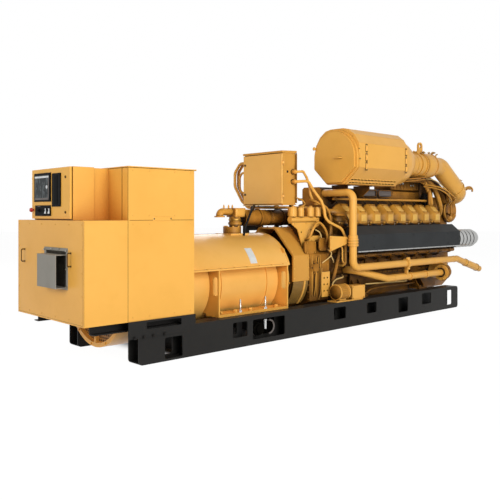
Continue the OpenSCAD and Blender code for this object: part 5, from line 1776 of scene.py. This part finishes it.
@dataclass
class Water:
    """Cooling water pipes, coupling, pump and the small pump set. Millimetres."""

    joint_x: float = 4095.0
    run_y: float = -600.0
    run_z: float = 678.0
    low_y: float = -570.0
    low_z: float = 504.0

    def couplings(self) -> None:
        """Grooved coupling, its two half shells drawn as one band with two ears, and weld rings on the pipes."""
        ring = turned(hoop(0.052, 0.060, 0.008), at(self.joint_x, self.run_y, self.run_z), frame_for(AHEAD))
        skin = Skin().add(ring, loop=True)
        ear = padded_plate(rounded(0.050, 0.030, 0.010), 0.026, 0.004)
        for z in (-66, 62):
            skin.add(turned(ear, at(self.joint_x, self.run_y - 6, self.run_z + z), frame_for(NEAR)))
        skin.piece("coupling_shell", Finish.YELLOW)
        rings = Skin()
        for place, way in (((3075, self.run_y, self.run_z), AHEAD), ((4700, self.run_y, self.run_z), AHEAD),
                           ((5240, self.run_y, self.run_z), AHEAD), ((4890, self.low_y, self.low_z), AHEAD),
                           ((3830, self.low_y, self.low_z), AHEAD), ((2985, self.run_y, 770), UP),
                           ((2985, self.run_y, 1478), UP), ((2985, -240, 1568), FAR)):
            rings.add(turned(hoop(0.0435, 0.008, 0.003, 48), at(*place), frame_for(way)), loop=True)
        rings.piece("pipe_welds", Finish.YELLOW)

    def hose_end(self) -> None:
        """Painted rubber sleeve with two bands over the upper pipe's slanting end."""
        ends = rows_at([(5520, self.run_y, 624), (5905, self.run_y, 519)])
        s = np.linspace(0, 1, 30)
        swell = 0.047 + 0.005 * np.clip(np.minimum(s, 1 - s) * 16, 0, 1)
        Kit.shell("end_sleeve", carried(ends[0] + s[:, None] * (ends[1] - ends[0]), swell, 24), Finish.YELLOW)
        way = unit(ends[1] - ends[0])
        places = ends[0] + np.array([0.10, 0.90])[:, None] * (ends[1] - ends[0])
        Kit.copies("end_bands", hoop(0.052, 0.014, 0.004, 48), places, way, Finish.LATCH, loop=True)

    def collar(self) -> None:
        """Bolts of the pipe bracket's collar and plate."""
        spots = grid_at(3048, -600, (948, 980, 1012))
        Kit.bolts("collar_bolts", spots, AHEAD, 0.016, 0.012, Finish.LATCH)
        plate = rows_at([(2650, -550, 900), (2650, -550, 1040), (2930, -550, 1025)])
        Kit.bolts("plate_bolts", plate, NEAR, 0.018, 0.010, Finish.YELLOW)

    def pump(self) -> None:
        """Inlet flange ring with its bolts, dark gasket, and the pump's end cover."""
        t = circle(8) + 0.3
        ring = at(4960, self.low_y, self.low_z) + 0.092 * pack(0, np.cos(t), np.sin(t))
        Kit.bolts("pump_bolts", ring, BEHIND, 0.018, 0.012, Finish.YELLOW)
        Kit.copies("pump_gasket", hoop(0.052, 0.010, 0.014), at(4954, self.low_y, self.low_z), AHEAD, Finish.DARK,
            loop=True)
        Kit.copies("pump_rim", hoop(0.105, 0.006, 0.010), at(4982, self.low_y, self.low_z), AHEAD, Finish.SHADE,
            loop=True)
        snail = spun([(0, -.003), (.088, -.003), (.092, .008), (.080, .020), (.050, .026), (.046, .046), (.030, .052),
            (0, .053)], 44)
        Kit.copies("pump_cover", snail, at(5115, self.low_y, self.low_z), NEAR, Finish.SHADE)
        lugs = at(5115, self.low_y - 8, self.low_z) + 0.080 * pack(np.cos(t), 0, np.sin(t))
        Kit.bolts("pump_cover_bolts", lugs, NEAR, 0.015, 0.010, Finish.YELLOW)

    def small_set(self) -> None:
        """Small pump set: finned motor sleeve, end bell, cap screws and foot bolts."""
        t = circle(96)
        fin = 0.0845 + 0.0055 * np.clip(np.cos(24 * t), 0, 1) ** 0.6
        x = np.array([0.0, 0.001, 0.118, 0.119])
        grow = np.array([0.9, 1.0, 1.0, 0.9])
        r = grow[:, None] * fin[None]
        outer = pack(r * np.cos(t), r * np.sin(t), x[:, None])
        inner = pack(0 * r + 0.080 * np.cos(t), 0 * r + 0.080 * np.sin(t), x[:, None])[::-1]
        place = at(2754, -545, 406)
        Kit.copies("motor_fins", np.concatenate([outer, inner]), place, AHEAD, Finish.ROCKER, loop=True)
        face = grid_at((2985, 3185), -605, (325, 455))
        Kit.bolts("set_screws", face, NEAR, 0.014, 0.009, Finish.YELLOW)
        bell = spun([(0, -.004), (.080, -.004), (.080, .006), (.066, .018), (.030, .022), (0, .022)], 36)
        Kit.copies("motor_end", bell, at(2730, -545, 406), BEHIND, Finish.SHADE)
        foot = grid_at((2690, 3184), (-600, -490), 312)
        Kit.bolts("set_feet", foot, UP, 0.016, 0.010, Finish.DARK)

    def build(self) -> None:
        """Make every piece of the water side."""
        self.couplings()
        self.hose_end()
        self.collar()
        self.pump()
        self.small_set()


@dataclass
class Turbo:
    """Turbocharger and its neighbours: volute, casing, link, pipes, charge cooler and breather. Millimetres."""

    x: float = 5844.0
    z: float = 1360.0
    casing_x: float = 5460.0
    casing_z: float = 1440.0

    def volute(self) -> None:
        """The volute's swept scroll: a tube whose radius grows round the turn, and its rim clamp."""
        turn = np.linspace(0.15, 1.85, 60) * math.pi
        grow = 0.030 + 0.026 * (turn - turn[0]) / (turn[-1] - turn[0])
        path = at(self.x, -168, self.z) + 0.128 * pack(np.cos(turn), 0, np.sin(turn))
        Kit.shell("volute_scroll", carried(path, grow, 18), Finish.SHADE)
        Kit.copies("volute_clamp", hoop(0.156, 0.018, 0.010), at(self.x, -196, self.z), NEAR, Finish.YELLOW, loop=True)

    def link(self) -> None:
        """Fork ends of the valve link."""
        knob = spun([(0, -.014), (.018, -.012), (.024, -.004), (.024, .004), (.018, .012), (0, .014)], 24)
        Kit.copies("link_ends", knob, rows_at([(5685, -300, 1262), (5685, -300, 1498)]), NEAR, Finish.YELLOW)

    def pipes(self) -> None:
        """Crossing pipes behind the elbow, the thin tubes under it and the pair under the cleaner's neck."""
        lay = Kit.lines
        lay("bypass_pipe", [[(4890, -250, 1800), (4989, -300, 1740), (5075, -312, 1610), (5150, -300, 1470),
            (5190, -250, 1400)]], 0.030, Finish.BRASSPAINT)
        lay("oil_feed_pipe", [[(5040, -240, 1800), (5150, -300, 1734), (5256, -318, 1600), (5352, -318, 1430),
            (5388, -290, 1330), (5392, -240, 1250)]], 0.038, Finish.ROCKER)
        lay("turbo_lines", [[(4887, -360, 1728), (5081, -440, 1698), (5256, -446, 1668), (5424, -440, 1612),
            (5596, -420, 1536), (5650, -320, 1470)], [(4890, -340, 1702), (5085, -420, 1672), (5250, -426, 1640),
            (5410, -420, 1582), (5540, -395, 1510), (5590, -310, 1440)]], 0.011, Finish.ROCKER)
        lay("neck_lines", [[(4150, -330, 1742), (4317, -410, 1776), (4578, -424, 1800), (4800, -424, 1822),
            (4930, -380, 1826)], [(4190, -330, 1716), (4330, -400, 1748), (4578, -410, 1772), (4790, -410, 1790),
            (4900, -350, 1790)]], 0.012, Finish.SHADE)

    def casing(self) -> None:
        """Turbine casing behind the link: a spun cone with flange and bolts, and the oil drain under it."""
        profile = [(0, -.01), (.120, -.01), (.128, .0), (.128, .016), (.112, .022), (.104, .060), (.120, .078),
            (.120, .094), (.08, .10), (0, .10)]
        Kit.copies("turbine_casing", spun(profile, 56), at(self.casing_x, -60, self.casing_z), NEAR, Finish.SHADE)
        t = circle(12)
        ring = at(self.casing_x, -76, self.casing_z) + 0.120 * pack(np.cos(t), 0, np.sin(t))
        Kit.bolts("turbine_bolts", ring, NEAR, 0.016, 0.012, Finish.BRONZE)
        Kit.lines("oil_drain", [[(5520, -120, 1330), (5530, -150, 1240), (5500, -170, 1160), (5440, -180, 1110)]],
            0.026, Finish.SHADE)

    def cooler(self) -> None:
        """Charge cooler on the plenum's front end and the cast bonnet behind the breather: soft-edged boxes with
        ribs, a bolted lid edge and two bare sensors."""
        box = padded_plate(rounded(0.700, 0.150, 0.030), 0.280, 0.020)
        bonnet = padded_plate(rounded(0.350, 0.410, 0.070), 0.278, 0.040)
        skin = Skin().add(turned(box, at(4730, 130, 1715), frame_for(NEAR)))
        skin.add(turned(bonnet, at(5255, 110, 1585), frame_for(NEAR)))
        skin.piece("charge_cooler", Finish.SHADE)
        ribs = Skin()
        for x in np.linspace(4440, 5020, 8):
            z = np.linspace(1652, 1778, 14)
            line = rows_at(pack(x, -149.0, z))
            ribs.add(carried(line, 0.003 + 0.007 * (1 - np.abs(np.linspace(-1, 1, 14)) ** 6), 8))
        for z in (1460, 1520, 1580, 1640, 1700):
            x = np.linspace(5110, 5400, 14)
            line = rows_at(pack(x, -167.0, float(z)))
            ribs.add(carried(line, 0.003 + 0.008 * (1 - np.abs(np.linspace(-1, 1, 14)) ** 6), 8))
        ribs.piece("cooler_ribs", Finish.SHADE)
        path = smooth_path(rows_at([(4540, 20, 1800), (4700, -10, 1832), (5000, -50, 1842), (5260, -90, 1826),
            (5480, -130, 1750), (5640, -160, 1630), (5730, -168, 1500)]))
        Kit.shell("return_duct", carried(path, 0.062, 20), Finish.SHADE)
        spots = grid_at(np.linspace(4430, 5030, 7), (-118, 98), 1790)
        Kit.bolts("cooler_bolts", spots, UP, 0.018, 0.012, Finish.ROCKER)
        probe = spun([(0, -.004), (.014, -.004), (.014, .010), (.010, .014), (.010, .034), (.013, .036), (.013, .050),
            (0, .052)], 20)
        Kit.copies("cooler_probes", probe, rows_at([(4600, -150, 1735), (4860, -150, 1712)]), NEAR, Finish.STEEL)

    def breather(self) -> None:
        """Round black breather on the plenum's end, ribbed round its rim."""
        t = circle(72)
        profile = np.array([(0, 0), (.078, 0), (.086, .012), (.086, .075), (.078, .088), (.052, .092), (.048, .080),
            (0, .078)])
        rim = 1 + 0.03 * np.cos(18 * t) * np.array([0, 0, 1, 1, 0, 0, 0, 0])[:, None]
        r = profile[:, :1] * rim
        grid = pack(r * np.cos(t), r * np.sin(t), profile[:, 1:])
        Kit.copies("breather", grid, at(5150, -170, 1520), NEAR, Finish.DARK)

    def build(self) -> None:
        """Make every piece of the turbocharger."""
        self.volute()
        self.link()
        self.pipes()
        self.casing()
        self.cooler()
        self.breather()


# ---------------------------------------------------------------------- studio

@dataclass
class Studio:
    """Floor, soft lights, pale world and the camera."""

    eye: tuple[float, float, float] = (-5.785, -5.432, 1.320)
    turn: float = -42.76
    lens: float = 47.15
    shift: float = -0.0732
    ambient: float = 0.13

    def camera(self) -> None:
        """Place the level camera."""
        data = bpy.data.cameras.new("view")
        data.lens, data.sensor_width = self.lens, 36.0
        data.shift_y = self.shift
        data.clip_end = 100.0
        eye = bpy.data.objects.new("view", data)
        eye.location = self.eye
        eye.rotation_euler = (math.radians(90), 0, math.radians(self.turn))
        bpy.context.collection.objects.link(eye)
        bpy.context.scene.camera = eye

    def lamp(self, name: str, place: Sequence[float], size: float, power: float) -> None:
        """Hang one square soft light that faces the machine's middle.

        Args:
            name: the lamp's name.
            place: where it hangs, in metres.
            size: its side, in metres.
            power: in watts.
        """
        data = bpy.data.lights.new(name, "AREA")
        data.size, data.energy = size, power
        lamp = bpy.data.objects.new(name, data)
        lamp.location = place
        x, y, z = place[0], place[1], place[2] - 1.0
        lamp.rotation_euler = (math.atan2(math.hypot(x, y), z), 0, math.atan2(y, x) + math.pi / 2)
        bpy.context.collection.objects.link(lamp)

    def floor(self) -> None:
        """A wide pale floor at the skid's foot; seen directly or in gloss it is white, except a dark patch under the
        skid painted as its shadow.
        """
        side = 40.0
        mesh = bpy.data.meshes.new("floor")
        mesh.from_pydata([(-side, -side, 0), (side, -side, 0), (side, side, 0), (-side, side, 0)], [], [(0, 1, 2, 3)])
        ground = bpy.data.objects.new("floor", mesh)
        bpy.context.collection.objects.link(ground)
        g = Graph("pale_floor")
        under = [g.node("ShaderNodeMath", {"operation": "ABSOLUTE"}, [v]) for v in (g.along(0) + 0.15, g.along(1))]
        # painted shadow: under the skid the floor is dark and does not glow
        outside_painted_shadow = 1 - (1 - under[0].ramp(1.95, 2.25)) * (1 - under[1].ramp(0.52, 0.62))
        g.set(Base_Color=g.mix(outside_painted_shadow, (0.10, 0.10, 0.10, 1), (0.82, 0.82, 0.82, 1)), Roughness=0.9,
              Specular_IOR_Level=0.0)
        glow = g.node("ShaderNodeEmission", {}, {"Color": (1, 1, 1, 1), "Strength": 1.08})
        path = [g.node("ShaderNodeLightPath", {}, [], way) for way in ("Is Camera Ray", "Is Glossy Ray")]
        share = (path[0] + path[1]) * outside_painted_shadow * 0.90
        both = g.node("ShaderNodeMixShader", {}, {0: share, 1: Wire(g, g.shader.outputs[0]), 2: glow})
        g.tree.links.new(both.value, g.output.inputs[0])
        mesh.materials.append(g.material)

    def world(self) -> None:
        """Even pale light from all round; seen directly, in gloss or through glass it is white."""
        world = bpy.data.worlds.new("pale_world")
        bpy.context.scene.world = world
        world.use_nodes = True
        tree = world.node_tree
        tree.nodes.clear()
        path = tree.nodes.new("ShaderNodeLightPath")
        back = [tree.nodes.new("ShaderNodeBackground") for _ in range(2)]
        for part, strength in zip(back, (self.ambient, 1.0)):
            part.inputs[0].default_value = (1.0, 1.0, 1.0, 1.0)
            part.inputs[1].default_value = strength
        seen = [tree.nodes.new("ShaderNodeMath") for _ in range(2)]
        for part in seen:
            part.operation = "MAXIMUM"
        tree.links.new(path.outputs["Is Camera Ray"], seen[0].inputs[0])
        tree.links.new(path.outputs["Is Transmission Ray"], seen[0].inputs[1])
        tree.links.new(seen[0].outputs[0], seen[1].inputs[0])
        tree.links.new(path.outputs["Is Glossy Ray"], seen[1].inputs[1])
        mixed = tree.nodes.new("ShaderNodeMixShader")
        tree.links.new(seen[1].outputs[0], mixed.inputs[0])
        tree.links.new(back[0].outputs[0], mixed.inputs[1])
        tree.links.new(back[1].outputs[0], mixed.inputs[2])
        out = tree.nodes.new("ShaderNodeOutputWorld")
        tree.links.new(mixed.outputs[0], out.inputs[0])

    def build(self) -> None:
        """Set the whole stage."""
        self.camera()
        self.floor()
        self.world()
        self.lamp("key", (-3.5, -11.0, 4.2), 6.0, 900.0)
        self.lamp("low", (-1.5, -9.5, 0.9), 3.5, 90.0)
        self.lamp("fill", (-11.0, -1.5, 4.2), 5.0, 360.0)
        self.lamp("back", (5.0, 8.0, 6.0), 6.0, 300.0)
        scene = bpy.context.scene
        scene.view_settings.view_transform = "Standard"


def main() -> None:
    """Build the looks in order and report each piece."""
    logging.basicConfig(level=logging.INFO, format="%(message)s")
    Studio().build()
    dress_frame()
    for assembly in (ControlBox(), Cabinets(), Skid(), Alternator(), Drive(), Engine(), AirIntake(), JunctionBox(),
                     GasTrain(), Water(), Turbo()):
        LOG.info("building %s", type(assembly).__name__)
        assembly.build()


if __name__ == "__main__":
    main()
